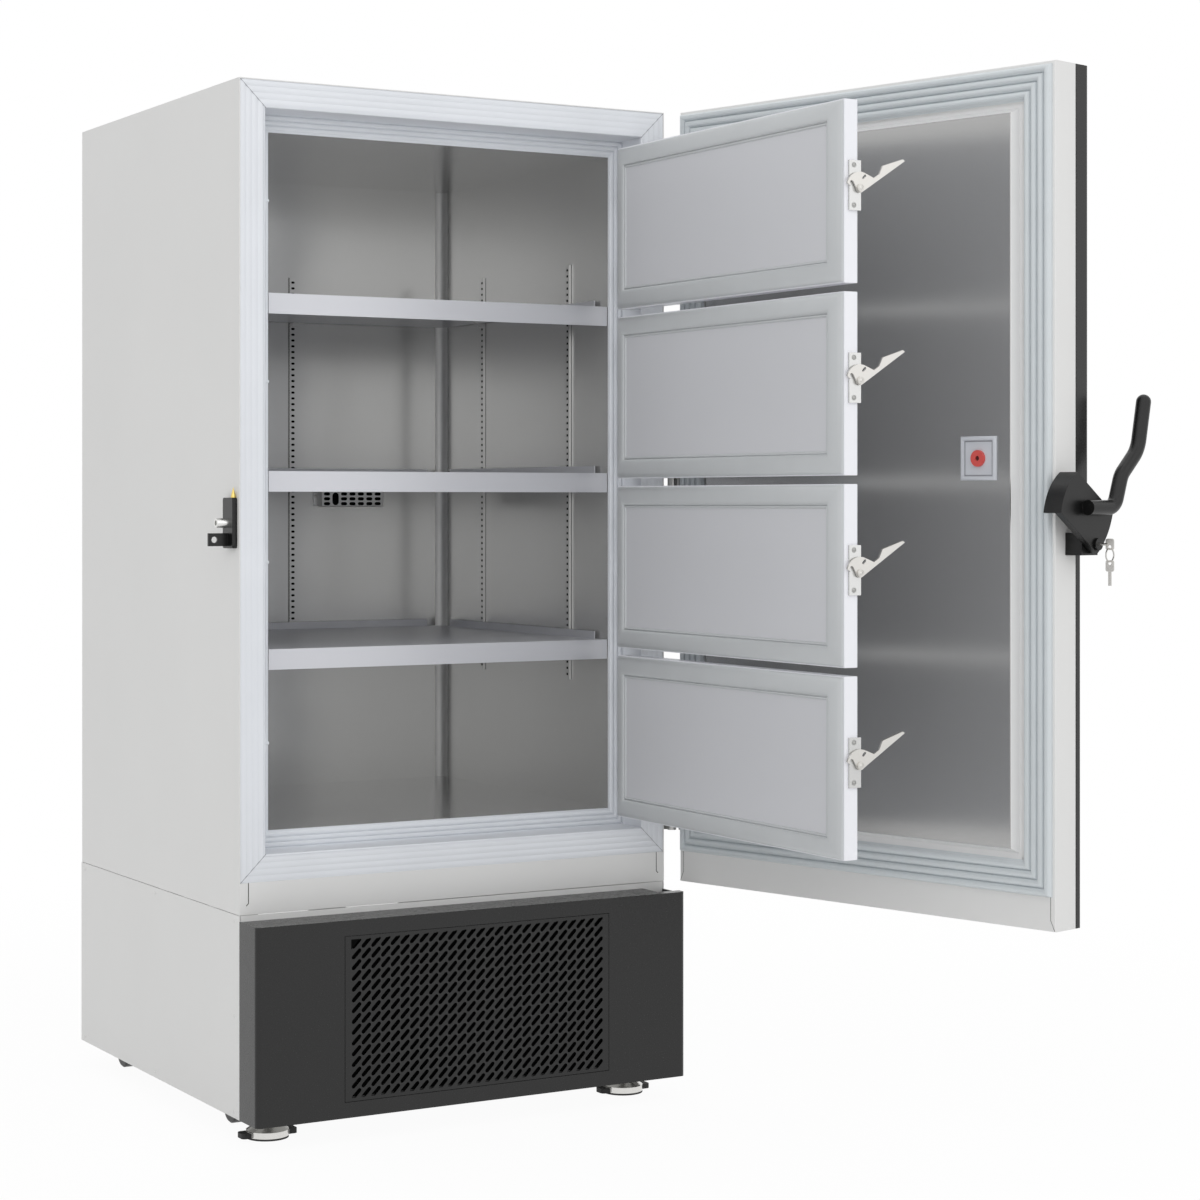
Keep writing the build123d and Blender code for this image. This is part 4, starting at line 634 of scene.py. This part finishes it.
def perforated_tree():
    """Upright sheet with a grid of round-ended slots, cut off square at its margin."""
    graph, wire, identifiers = geometry_tree("perforated_sheet", SHEET_INPUTS)
    points = graph.node(
        "GeometryNodeMeshGrid",
        sockets={
            "Size X": (wire["Columns"] - 1.0) * wire["Pitch X"],
            "Size Y": (wire["Rows"] - 1.0) * wire["Pitch Z"],
            "Vertices X": wire["Columns"],
            "Vertices Y": wire["Rows"],
        },
    )
    blank = graph.node(
        "GeometryNodeCurvePrimitiveQuadrilateral",
        sockets={"Width": wire["Slot Length"], "Height": wire["Slot Width"]},
    )
    rounded = graph.node(
        "GeometryNodeFilletCurve",
        {"mode": "POLY"},
        {"Curve": blank, "Count": 3, "Radius": wire["Slot Width"] * 0.499, "Limit Radius": True},
    )
    even = graph.node("GeometryNodeResampleCurve", sockets={"Curve": rounded, "Count": 26})
    turn = graph.node("ShaderNodeCombineXYZ", sockets={"Z": wire["Tilt"]})
    slot = graph.node("GeometryNodeTransform", sockets={"Geometry": even, "Rotation": turn})
    spread = graph.node("GeometryNodeInstanceOnPoints", sockets={"Points": points, "Instance": slot})
    loose = graph.node("GeometryNodeRealizeInstances", sockets={0: spread})
    position = graph.node("GeometryNodeInputPosition")
    kept = []
    for axis, span, margin in ((0, "Width", "Margin X"), (1, "Height", "Margin Z")):
        limit = wire[span] * 0.5 - wire[margin]
        along = graph.node("ShaderNodeSeparateXYZ", sockets={0: position}, output=axis)
        kept.append(along.at_most(limit).at_least(-limit))
    inside = graph.node("ShaderNodeCombineXYZ", sockets={"X": kept[0], "Y": kept[1]})
    cut = graph.node("GeometryNodeSetPosition", sockets={"Geometry": loose, "Position": inside})
    outline = graph.node(
        "GeometryNodeCurvePrimitiveQuadrilateral",
        sockets={"Width": wire["Width"], "Height": wire["Height"]},
    )
    curves = joined(graph, cut, outline)
    face = graph.node("GeometryNodeFillCurve", {"mode": "TRIANGLES"}, {"Curve": curves})
    raised = graph.node(
        "GeometryNodeExtrudeMesh",
        {"mode": "FACES"},
        {"Mesh": face, "Offset Scale": wire["Thickness"], "Individual": False},
    )
    back = graph.node("GeometryNodeFlipFaces", sockets={"Mesh": face})
    shell = joined(graph, raised, back)
    closed = graph.node("GeometryNodeMergeByDistance", sockets={"Geometry": shell, "Distance": 0.01 * MM})
    upright = graph.node(
        "GeometryNodeTransform", sockets={"Geometry": closed, "Rotation": (radians(90), 0, 0)}
    )
    close_tree(graph, upright, wire["Material"])
    return graph.tree, identifiers


def heads_on_points(graph, wire, head):
    """One head on each point of the mesh, facing as the point says."""
    facing = graph.node(
        "GeometryNodeInputNamedAttribute", {"data_type": "FLOAT_VECTOR"}, {"Name": "facing"}
    )
    turn = graph.node("FunctionNodeAlignRotationToVector", {"axis": "Z"}, {"Vector": facing})
    heads = graph.node(
        "GeometryNodeInstanceOnPoints",
        sockets={"Points": wire["Mesh"], "Instance": head, "Rotation": turn},
    )
    close_tree(graph, heads, wire["Material"])


def flat_dome(graph, radius, height):
    """Ball flattened to a radius and a height."""
    ball = graph.node("GeometryNodeMeshUVSphere", sockets={"Segments": 20, "Rings": 10, "Radius": 1.0})
    flat = graph.node("ShaderNodeCombineXYZ", sockets={"X": radius, "Y": radius, "Z": height})
    return graph.node("GeometryNodeTransform", sockets={"Geometry": ball, "Scale": flat})


def joined(graph, *parts):
    """Several geometries as one."""
    node = graph.tree.nodes.new("GeometryNodeJoinGeometry")
    for part in parts:
        graph.feed(node.inputs[0], part)
    return Wire(graph, node.outputs[0])


def screw_tree():
    """Domed screw heads with a cross recess."""
    graph, wire, identifiers = geometry_tree("screw_heads", HEAD_INPUTS)
    arms = []
    for across, along in ((0.22, 1.0), (1.0, 0.22)):
        size = graph.node(
            "ShaderNodeCombineXYZ",
            sockets={"X": wire["Radius"] * across, "Y": wire["Radius"] * along, "Z": wire["Height"]},
        )
        bar = graph.node("GeometryNodeMeshCube", sockets={"Size": size})
        lift = graph.node("ShaderNodeCombineXYZ", sockets={"Z": wire["Height"] + wire["Base"]})
        arms.append(graph.node("GeometryNodeTransform", sockets={"Geometry": bar, "Translation": lift}))
    cut = graph.tree.nodes.new("GeometryNodeMeshBoolean")
    cut.operation = "DIFFERENCE"
    graph.feed(cut.inputs[0], flat_dome(graph, wire["Radius"], wire["Height"]))
    graph.feed(cut.inputs[1], joined(graph, *arms))
    heads_on_points(graph, wire, Wire(graph, cut.outputs[0]))
    return graph.tree, identifiers


def rivet_tree():
    """Round rivet heads: a flat base, a raised ring and a domed middle."""
    graph, wire, identifiers = geometry_tree("rivet_heads", HEAD_INPUTS)
    base = graph.node(
        "GeometryNodeMeshCylinder",
        sockets={"Vertices": 40, "Radius": wire["Radius"] * 1.3, "Depth": wire["Base"] * 2.0},
    )
    path = graph.node(
        "GeometryNodeCurvePrimitiveCircle", sockets={"Resolution": 40, "Radius": wire["Radius"]}
    )
    section = graph.node(
        "GeometryNodeCurvePrimitiveCircle", sockets={"Resolution": 8, "Radius": wire["Height"] * 0.6}
    )
    hoop = graph.node("GeometryNodeCurveToMesh", sockets={"Curve": path, "Profile Curve": section})
    lift = graph.node("ShaderNodeCombineXYZ", sockets={"Z": wire["Base"]})
    crown = joined(graph, hoop, flat_dome(graph, wire["Radius"] * 0.62, wire["Height"]))
    raised = graph.node("GeometryNodeTransform", sockets={"Geometry": crown, "Translation": lift})
    heads_on_points(graph, wire, joined(graph, base, raised))
    return graph.tree, identifiers


def fasteners(name, body, slot, places, make_tree, radius, height, base=0.0):
    """Screw or rivet heads at (point, facing) places, as one piece on a body."""
    mesh = bpy.data.meshes.new(name)
    mesh.from_pydata([point for point, _ in places], [], [])
    facing = mesh.attributes.new("facing", "FLOAT_VECTOR", "POINT")
    for item, (_, direction) in zip(facing.data, places):
        item.vector = direction
    tree, identifiers = make_tree()
    sizes = {"Radius": radius, "Height": height, "Base": base, "Material": finishes[slot]}
    return show(name, bake(tree, identifiers, sizes, name, mesh), body, slot)


def perforated(name, size, slot_size, tilt, pitch, grid, margin, finish):
    """Upright slotted sheet facing -Y, its back at the origin."""
    tree, identifiers = perforated_tree()
    values = (*size, *slot_size, tilt, *pitch, *grid, *margin, finishes[finish])
    sizes = dict(zip(SHEET_INPUTS, values))
    return bake(tree, identifiers, sizes, name)


def together(name, meshes):
    """Several meshes as one."""
    bm = bmesh.new()
    for mesh in meshes:
        bm.from_mesh(mesh)
    result = bpy.data.meshes.new(name)
    bm.to_mesh(result)
    bm.free()
    return result


def seam(bm, points, width, depths):
    """Thin line of gap along (across, up) points, between two depths."""
    for start, end in zip(points, points[1:]):
        near = Vector((start[0], 0, start[1]))
        far = Vector((end[0], 0, end[1]))
        along = (far - near).normalized() * width / 2
        side = Vector((-along.z, 0, along.x))
        near -= along / 2
        far += along / 2
        corners = (near + side, far + side, far - side, near - side)
        front, back = ([bm.verts.new((p.x, depth, p.z)) for p in corners] for depth in depths)
        bm.faces.new(front)
        bm.faces.new(back)
        for i in range(4):
            j = (i + 1) % 4
            bm.faces.new((front[i], front[j], back[j], back[i]))


class FREEZER_OT_finishes(bpy.types.Operator):
    """Make the finishes and put them on the pieces that come from the CAD frame"""

    bl_idname = "freezer.finishes"
    bl_label = "Finishes"

    def execute(self, context):
        finishes.update(make_finishes(context.scene.freezer.colours))
        for name, node in nodes.items():
            slot = node.material_slots[0]
            finish = slot.material.name.split(".")[0]
            if name.startswith("inner_door_"):
                finish = "inner_slab"
            if name.startswith("foot_"):
                finish = "levelling_foot"
            finish = OWN_FINISH.get(name, finish)
            slot.material = finishes[finish]
        return {"FINISHED"}


class FREEZER_OT_breaker(bpy.types.Operator):
    """Fluted plastic frame round the opening, with its recess and ribbed step"""

    bl_idname = "freezer.breaker"
    bl_label = "Breaker frame"

    def execute(self, context):
        seals = context.scene.freezer.seals
        low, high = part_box("breaker_frame")
        ring = high[0] - box_in(STANDING, "inner_brackets")[1].x
        depth = high[1] - low[1]
        wall = 4 * MM
        step = 35 * MM
        rib_height = 3.2 * MM
        rib_gap = 2 * MM
        front = low[1]
        floor = front + depth - wall
        profile = [(0, front + wall), (0, front + seals.lobe_depth)]
        profile += lobed(0, ring - wall, seals.lobes, front, front + seals.lobe_depth, 0.9)
        profile += arc((ring - wall, front + wall), wall, -90, 0)
        profile += arc((ring + wall, floor - wall), wall, 180, 90)[:-2]
        profile += lobed(ring + rib_gap, ring + step - wall, seals.step_ribs, floor, floor + rib_height, 0.8)
        profile += [(ring + step, floor + wall / 2), (ring + step, front + depth)]
        profile += [(ring - wall, front + depth), (ring - wall, front + wall)]
        piece = form("breaker_ring", mitred_ring(profile, low, high), "cabinet", "breaker_plastic")
        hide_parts("breaker_frame")
        lines = bmesh.new()
        line_width = 0.9 * MM
        depths = (front - 0.08 * MM, front + 2 * MM)
        for x, across in ((low[0], 1), (high[0], -1)):
            for z, up in ((low[2], 1), (high[2], -1)):
                points = ((x, z), (x + across * ring, z + up * ring))
                seam(lines, points, line_width, depths)
        form("breaker_mitres", lines, "cabinet", "inner_gasket", finish="mitre_line")
        return {"FINISHED"}


class FREEZER_OT_outer_door(bpy.types.Operator):
    """Folded casing, ribbed seal and vent port of the outer door, with painted shade in the vent's groove
    and hole
    """

    bl_idname = "freezer.outer_door"
    bl_label = "Outer door"

    def execute(self, context):
        self.casing()
        self.seal(context.scene.freezer.seals)
        self.vent()
        self.vent_hole()
        return {"FINISHED"}

    def casing(self):
        low, high = box_in(OUTER, "door_shell")
        window = 72 * MM
        round_edge = 2.5 * MM
        sheet = 2 * MM
        face = high[1]
        outer = low[1]
        profile = [(window, face - sheet), (window, face)]
        profile += arc((round_edge, face - round_edge), round_edge, 90, 180)
        profile += arc((round_edge, outer + round_edge), round_edge, 180, 270)
        profile += [(window, outer), (window, outer + sheet)]
        shell = form("door_casing", mitred_ring(profile, low, high), "outer_door", "casing_paint", OUTER)
        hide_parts("door_shell")

    def seal(self, seals):
        low, high = box_in(OUTER, "door_gasket")
        band = 58 * MM
        lip = 3 * MM
        valley = high[1] - seals.seal_groove
        profile = [(0, low[1]), (0, valley)]
        profile += lobed(0, band, seals.seal_lobes, high[1], valley)
        profile += [(band, low[1] + lip), (band + lip, low[1])]
        seal = form("door_seal", mitred_ring(profile, low, high), "outer_door", "door_gasket", OUTER)
        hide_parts("door_gasket")

    def vent(self):
        low, high = box_in(OUTER, "vent_port")
        base = low[1]
        top = high[1]
        rim = [(0, -2), (1.5, -0.4), (3, 0), (6, 0), (7.2, -0.8), (7.6, -3), (9, -3.4), (10.2, -3)]
        edge = 10.2 * MM
        profile = [(0, base)] + [(inset * MM, top + drop * MM) for inset, drop in rim] + [(edge, base)]
        ring = mitred_ring(profile, low, high)
        inset = Vector((10 * MM, 0, 10 * MM))
        sunk = Vector((0, 3.2 * MM, 0))
        soft_box(ring, low + inset, high - inset - sunk, 0)
        port = form("vent_frame", ring, "outer_door", "vent_white", OUTER)
        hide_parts("vent_port")
        # Grey ring at the bottom of the frame's groove: painted shade in the groove.
        start = 8 * MM
        bottom = top - 3.6 * MM
        line = top - 2.8 * MM
        outline = [(start, bottom), (start, line), (edge, line), (edge, bottom)]
        groove = mitred_ring(outline, low, high)
        form("vent_groove_shade", groove, "outer_door", "vent_white", OUTER, "mitre_line")

    def vent_hole(self):
        # Dark disc at the bottom of the plug's hole: painted shade.
        low, high = box_in(OUTER, "vent_plug")
        radius = 4.6 * MM
        middle = (low + high) / 2
        seat = Matrix.Translation((middle.x, low.y + 1.2 * MM, middle.z))
        hole = bmesh.new()
        bmesh.ops.create_cone(
            hole, cap_ends=True, segments=24, radius1=radius, radius2=radius, depth=2 * MM,
            matrix=seat @ Matrix.Rotation(radians(90), 4, "X"),
        )
        form("vent_hole", hole, "outer_door", "vent_red", OUTER, "vent_hole")


class FREEZER_OT_inner_doors(bpy.types.Operator):
    """Seals and panels on the backs of the four inner doors"""

    bl_idname = "freezer.inner_doors"
    bl_label = "Inner doors"

    def execute(self, context):
        bead = context.scene.freezer.seals.bead
        slope = [(0, 0.15), (3, 0.42), (10, 0.68), (18, 0.86), (25, 0.97), (29, 1.0), (32, 0.98), (34, 0.92),
                 (35.2, 0.82), (36, 0.66)]
        band = 36 * MM
        inset = Vector((band + bead / 2, 0, band + bead / 2))
        for index in INNER_DOORS:
            low, high = box_in(INNER, f"inner_gasket_{index}")
            base = low[1]
            rise = high[1] - base
            sheet = base + 0.6 * rise
            profile = [(0, base)]
            profile += [(across * MM, base + share * rise) for across, share in slope]
            profile += arc((inset.x, sheet), bead / 2, 180, 0, 6)
            profile += [(band + bead, base)]
            name = f"inner_seal_{index}"
            seal = form(name, mitred_ring(profile, low, high), f"inner_{index}", "inner_gasket", INNER)
            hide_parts(f"inner_gasket_{index}")
            corner = high - inset
            corner.y = sheet
            plate = soft_box(bmesh.new(), low + inset - Vector((0, 0.2 * MM, 0)), corner, 0)
            form(f"inner_sheet_{index}", plate, f"inner_{index}", "inner_panel", INNER)
        return {"FINISHED"}


class FREEZER_OT_grille(bpy.types.Operator):
    """Slotted grille in the front moulding"""

    bl_idname = "freezer.grille"
    bl_label = "Grille"

    def execute(self, context):
        panels = context.scene.freezer.panels
        low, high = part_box("grille")
        width, thickness, height = high - low
        margin = (12 * MM, 6 * MM)
        mesh = perforated(
            "slotted_grille",
            (width, height, thickness),
            (panels.slot_length, panels.slot_width),
            radians(45),
            (panels.slot_pitch, panels.slot_pitch),
            (27, 15),
            margin,
            "black_moulding",
        )
        middle = (low + high) / 2
        mesh.transform(Matrix.Translation((middle[0], high[1], middle[2])))
        piece = show("slotted_grille", mesh, "cabinet", "black_moulding")
        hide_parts("grille")
        x = low[0] + margin[0]
        z = high[2] - margin[1]
        triangle = ((x, z), (x + 17 * MM, z), (x, z - 19 * MM))
        corner = bmesh.new()
        for depth in (low[1] - 0.1 * MM, low[1] + 0.5 * MM):
            corner.faces.new([corner.verts.new((across, depth, up)) for across, up in triangle])
        bmesh.ops.bridge_loops(corner, edges=corner.edges[:])
        form("grille_corner", corner, "cabinet", "black_moulding", finish="dark_gap")
        return {"FINISHED"}


class FREEZER_OT_screws(bpy.types.Operator):
    """Domed screws round the lower side panels and the rear panel"""

    bl_idname = "freezer.screws"
    bl_label = "Screws"

    def execute(self, context):
        panels = context.scene.freezer.panels
        low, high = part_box("side_panels")
        front = low[1] + 25 * MM
        middle = (low[1] + high[1]) / 2
        back = high[1] - 22 * MM
        bottom = low[2] + 12 * MM
        top = high[2] - 12 * MM
        inset = 20 * MM
        seats = [(y, z) for z in (bottom, top) for y in (front, middle, back)]
        seats.append((front, (bottom + top) / 2))
        places = []
        for x, side in ((low[0], -1), (high[0], 1)):
            places += [((x, y, z), (side, 0, 0)) for y, z in seats]
        for x in (low[0] + inset, 0, high[0] - inset):
            places += [((x, high[1], z), (0, 1, 0)) for z in (bottom, top)]
        fasteners("panel_screws", "cabinet", "casing_paint", places, screw_tree, panels.screw_radius,
                  panels.screw_height)
        return {"FINISHED"}


class FREEZER_OT_latches(bpy.types.Operator):
    """Rivets of the inner doors' latch plates and the heads of their pivots"""

    bl_idname = "freezer.latches"
    bl_label = "Latch rivets"

    def execute(self, context):
        radius = context.scene.freezer.panels.rivet_radius
        out = INNER.to_3x3() @ Vector((-1, 0, 0))
        plate_thick = 4 * MM
        rivet_inset = 10 * MM
        rivet_rises = (40.5 * MM, -30 * MM)
        pivot_sunk = 1.8 * MM
        for index in INNER_DOORS:
            pivot = INNER.inverted() @ Vector(joints[f"latch_{index}_turn"]["pos_m"])
            head, _ = box_in(INNER, f"inner_fittings_{index}")
            plate, _ = box_in(INNER, f"inner_door_{index}")
            face = plate.x - plate_thick
            places = []
            for rise in rivet_rises:
                places.append((INNER @ Vector((face, pivot.y + rivet_inset, pivot.z + rise)), out))
            body = f"inner_{index}"
            fasteners(f"latch_rivets_{index}", body, "plated_steel", places, rivet_tree, radius, 0.9 * MM,
                      0.3 * MM)
            places = [(INNER @ Vector((head.x + pivot_sunk, pivot.y, pivot.z)), out)]
            fasteners(f"latch_pivot_{index}", body, "polished_steel", places, rivet_tree, 5.5 * MM, 1.0 * MM,
                      2.1 * MM)
        return {"FINISHED"}


class FREEZER_OT_liner(bpy.types.Operator):
    """Slotted faces of the shelf strips over painted shade, the slotted cover of the temperature probe with
    a painted highlight and painted shade, and the corner bends with a painted highlight
    """

    bl_idname = "freezer.liner"
    bl_label = "Liner fittings"

    def execute(self, context):
        self.strips(context.scene.freezer.panels.hole_pitch)
        self.probe_cover()
        self.coves()
        return {"FINISHED"}

    def coves(self):
        # Thin rounded sheets in the back corners, paler than the liner: the real bend of the corner with a
        # painted highlight on it.
        low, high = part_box("inner_liner")
        wall = 1.5 * MM
        bend = 22 * MM - wall
        steps = 10
        bm = bmesh.new()
        for x, side in ((low[0] + wall, -1), (high[0] - wall, 1)):
            centre = (x - side * bend, high[1] - wall - bend)
            turns = (0, 90) if side > 0 else (180, 90)
            rows = []
            for radius in (bend - 0.1 * MM, bend - 0.5 * MM):
                for z in (low[2] + wall, high[2] - wall):
                    rows.append([bm.verts.new((*p, z)) for p in arc(centre, radius, *turns, steps)])
            for near, far in ((0, 1), (1, 3), (3, 2), (2, 0)):
                for i in range(steps):
                    bm.faces.new((rows[near][i], rows[near][i + 1], rows[far][i + 1], rows[far][i]))
            for end in (0, -1):
                bm.faces.new([rows[row][end] for row in (0, 1, 3, 2)])
        form("cove_highlight_bands", bm, "cabinet", "stainless", finish="liner_cove")

    def strips(self, pitch):
        low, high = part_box("pilasters")
        width = 14 * MM
        stand = 5 * MM
        sheet = 0.6 * MM
        lift = 0.2 * MM
        hole = (8.5 * MM, 5 * MM)
        tall = high[2] - low[2]
        middle = (low[2] + high[2]) / 2
        rows = int((tall - 4 * MM) / pitch)
        seats = [((low[0] + stand, y), 90) for y in STRIP_DEPTHS]
        seats += [((high[0] - stand, y), -90) for y in STRIP_DEPTHS]
        seats.append(((0, high[1] - stand), 0))
        faces = []
        shade_backings = []
        for (x, y), turn in seats:
            place = Matrix.Translation((x, y, middle)) @ Matrix.Rotation(radians(turn), 4, "Z")
            face = perforated("strip", (width, tall, sheet), hole, 0, (pitch, pitch), (1, rows), (MM, MM),
                              "stainless")
            face.transform(place @ Matrix.Translation((0, -lift, 0)))
            faces.append(face)
            # Dark backing under the slotted face and dark lines along the strip's long edges: painted shade
            # seen through the holes and beside the strips.
            shade_block = bmesh.new()
            across = width / 2 - MM
            up = tall / 2 - MM
            soft_box(shade_block, (-across, -lift, -up), (across, 0, up), 0)
            for edge in (-1, 1):
                start, end = sorted((edge * width / 2, edge * (width / 2 + MM)))
                soft_box(shade_block, (start, stand - 0.3 * MM, -tall / 2), (end, stand, tall / 2), 0)
            shade_backings.append(mesh_from(shade_block, "strip_shade_back", place))
        show("strip_faces", together("strip_faces", faces), "cabinet", "stainless")
        show("strip_hole_shade", together("strip_hole_shade", shade_backings), "cabinet", "black_moulding", "dark_gap")

    def probe_cover(self):
        low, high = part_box("sensor_cover")
        sheet = 1.2 * MM
        pitch = (20.5 * MM, 10.8 * MM)
        slot_size = (15.5 * MM, 7.2 * MM)
        tall_slot = (2 * pitch[1] + slot_size[1], slot_size[0])
        columns = 7
        slotted = 34 * MM
        left = low[0] + COVER_TRIM
        right = high[0] - COVER_TRIM
        front = low[1]
        bottom = low[2]
        top = bottom + slotted
        first = (left + right) / 2 - (columns - 1) / 2 * pitch[0]
        parts = []
        # The slotted face and walls take the pale steel: a painted highlight that sets the cover off against
        # the wall.
        for start, size, grid, turn in (
            (0, slot_size, (1, 3), 0),
            (1, tall_slot, (1, 1), 90),
            (2, slot_size, (5, 3), 0),
        ):
            face = perforated("cover_face", (grid[0] * pitch[0], slotted, sheet), size, radians(turn), pitch,
                              grid, (MM, MM), "liner_cove")
            x = first + (start + (grid[0] - 1) / 2) * pitch[0]
            face.transform(Matrix.Translation((x, front + sheet, bottom + slotted / 2)))
            parts.append(face)
        walls = bmesh.new()
        soft_box(walls, (left, front, top), (right, front + sheet, high[2]), 0)
        for start, end in ((left, first - pitch[0] / 2), (first + (columns - 0.5) * pitch[0], right)):
            soft_box(walls, (start, front, bottom), (end, front + sheet, top), 0)
        corners = ((left, front, bottom), (right, high[1], high[2]))
        mitred_ring([(0, front), (sheet, front), (sheet, high[1]), (0, high[1])], *corners, walls)
        tab_wide = 11 * MM
        tab_face = high[1] - 2.5 * MM
        soft_box(walls, (left - tab_wide, tab_face, bottom + 3 * MM), (left, high[1], high[2] - 8 * MM),
                 0.8 * MM)
        parts.append(mesh_from(walls, "cover_walls"))
        cover = show("probe_cover", together("probe_cover", parts), "cabinet", "stainless", "liner_cove")
        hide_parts("sensor_cover")
        # Dark box inside the cover: painted shade seen through the slots.
        inside = soft_box(bmesh.new(), (left + sheet, front + 4 * sheet, bottom + sheet),
                          (right - sheet, front + 5 * sheet, high[2] - sheet), 0)
        form("probe_shade", inside, "cabinet", "black_moulding", finish="dark_gap")
        place = ((left - 6 * MM, tab_face, (bottom + high[2]) / 2), (0, -1, 0))
        fasteners("probe_screw", "cabinet", "polished_steel", [place], screw_tree, 3.4 * MM, 1.8 * MM)


class FREEZER_OT_seams(bpy.types.Operator):
    """Dark gaps where the sheet metal is folded, on the front strip and the outer door"""

    bl_idname = "freezer.seams"
    bl_label = "Sheet seams"

    def execute(self, context):
        width = context.scene.freezer.panels.seam_width
        sunk = 0.3 * MM
        proud = 0.15 * MM
        low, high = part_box("upper_casing")
        bottom, face = low[2], low[1]
        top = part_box("breaker_frame")[0][2]
        gaps = bmesh.new()
        for edge, side in ((low[0], 1), (high[0], -1)):
            x = edge + side * 18 * MM
            points = ((x, top), (x, bottom + 21 * MM), (x - side * 4 * MM, bottom + 17 * MM))
            seam(gaps, points, width, (face - proud, face + sunk))
        form("strip_seams", gaps, "cabinet", "black_moulding", finish="dark_gap")
        low, high = box_in(OUTER, "door_shell")
        bottom, face = low[2], high[1]
        top = box_in(OUTER, "door_gasket")[0][2]
        gaps = bmesh.new()
        for edge, side in ((low[0], 1), (high[0], -1)):
            x = edge + side * 10 * MM
            points = ((x, top), (x, bottom + 20 * MM), (edge + side * 1.5 * MM, bottom + 2 * MM))
            seam(gaps, points, width * 0.6, (face - sunk, face + proud))
        form("door_seams", gaps, "outer_door", "black_moulding", OUTER, "dark_gap")
        return {"FINISHED"}


class FREEZER_OT_stage(bpy.types.Operator):
    """Pale floor, soft studio light and the camera"""

    bl_idname = "freezer.stage"
    bl_label = "Stage"

    def execute(self, context):
        scene = context.scene
        scene.view_settings.view_transform = "Standard"
        bm = bmesh.new()
        bmesh.ops.create_grid(bm, x_segments=1, y_segments=1, size=30)
        mesh = bpy.data.meshes.new("floor")
        bm.to_mesh(mesh)
        bm.free()
        floor = bpy.data.objects.new("floor", mesh)
        scene.collection.objects.link(floor)
        mesh.materials.append(self.floor_finish())
        self.sky(scene)
        for name, place, aim, size, power in LAMPS:
            lamp = bpy.data.lights.new(name, "AREA")
            lamp.shape = "SQUARE"
            lamp.size = size
            lamp.energy = power
            light = bpy.data.objects.new(name, lamp)
            light.location = place
            light.rotation_euler = (Vector(aim) - Vector(place)).to_track_quat("-Z", "Y").to_euler()
            scene.collection.objects.link(light)
        view = bpy.data.cameras.new("camera")
        view.sensor_width = 36
        view.lens = CAMERA_LENS
        view.shift_y = CAMERA_SHIFT
        view.clip_end = 100
        camera = bpy.data.objects.new("camera", view)
        camera.location = CAMERA_PLACE
        camera.rotation_euler = (radians(90), 0, radians(CAMERA_TURN))
        scene.collection.objects.link(camera)
        scene.camera = camera
        return {"FINISHED"}

    def seen(self, graph):
        """One where the camera, a reflection or a refraction sees the stage."""
        path = graph.tree.nodes.new("ShaderNodeLightPath")
        rays = [Wire(graph, path.outputs[f"Is {kind} Ray"]) for kind in ("Camera", "Glossy", "Transmission")]
        return (rays[0] + rays[1] + rays[2]).at_most(1.0)

    def floor_finish(self):
        finish = Finish("pale_floor")
        finish.surface(
            Base_Color=finish.tint(finish.noise(1.5), (0.94, 0.94, 0.94), 0.98, 1.02),
            Roughness=0.8 + 0.1 * finish.noise(20.0),
        )
        white = finish.node("ShaderNodeEmission", sockets={"Color": (1, 1, 1, 1), "Strength": 1.0})
        far = ((finish.radius(0, 0) - 1.0) * 0.5).at_least(0.0).at_most(1.0)
        mixed = finish.node(
            "ShaderNodeMixShader",
            sockets={
                0: (0.95 + 0.05 * far) * self.seen(finish),
                1: Wire(finish, finish.shader.outputs[0]),
                2: white,
            },
        )
        finish.feed(finish.tree.nodes["Material Output"].inputs["Surface"], mixed)
        return finish.material

    def sky(self, scene):
        world = bpy.data.worlds.new("studio")
        world.use_nodes = True
        scene.world = world
        graph = Graph(world.node_tree)
        seen = self.seen(graph)
        backdrop = world.node_tree.nodes["Background"]
        backdrop.inputs["Color"].default_value = (1, 1, 1, 1)
        graph.feed(backdrop.inputs["Strength"], 0.67 + 0.33 * seen)


class FREEZER_PT_pieces(bpy.types.Panel):
    """Lists the freezer's groups of pieces and their sizes"""

    bl_idname = "FREEZER_PT_pieces"
    bl_label = "Freezer"
    bl_space_type = "VIEW_3D"
    bl_region_type = "UI"
    bl_category = "Freezer"

    def draw(self, context):
        settings = context.scene.freezer
        for group in (settings.seals, settings.panels, settings.colours):
            box = self.layout.box()
            for key in group.bl_rna.properties.keys():
                if key not in ("rna_type", "name"):
                    box.prop(group, key)
        for step in steps:
            self.layout.operator(step.bl_idname)


steps = (
    FREEZER_OT_finishes,
    FREEZER_OT_breaker,
    FREEZER_OT_outer_door,
    FREEZER_OT_inner_doors,
    FREEZER_OT_grille,
    FREEZER_OT_latches,
    FREEZER_OT_liner,
    FREEZER_OT_seams,
    FREEZER_OT_screws,
    FREEZER_OT_stage,
)
groups = (FreezerSeals, FreezerPanels, FreezerColours, FreezerSettings)


def register():
    for cls in (*groups, *steps, FREEZER_PT_pieces):
        bpy.utils.register_class(cls)
    bpy.types.Scene.freezer = PointerProperty(type=FreezerSettings)


def unregister():
    del bpy.types.Scene.freezer
    for cls in reversed((*groups, *steps, FREEZER_PT_pieces)):
        bpy.utils.unregister_class(cls)


def main():
    register()
    for step in steps:
        family, name = step.bl_idname.split(".")
        getattr(getattr(bpy.ops, family), name)()


if __name__ == "__main__":
    main()
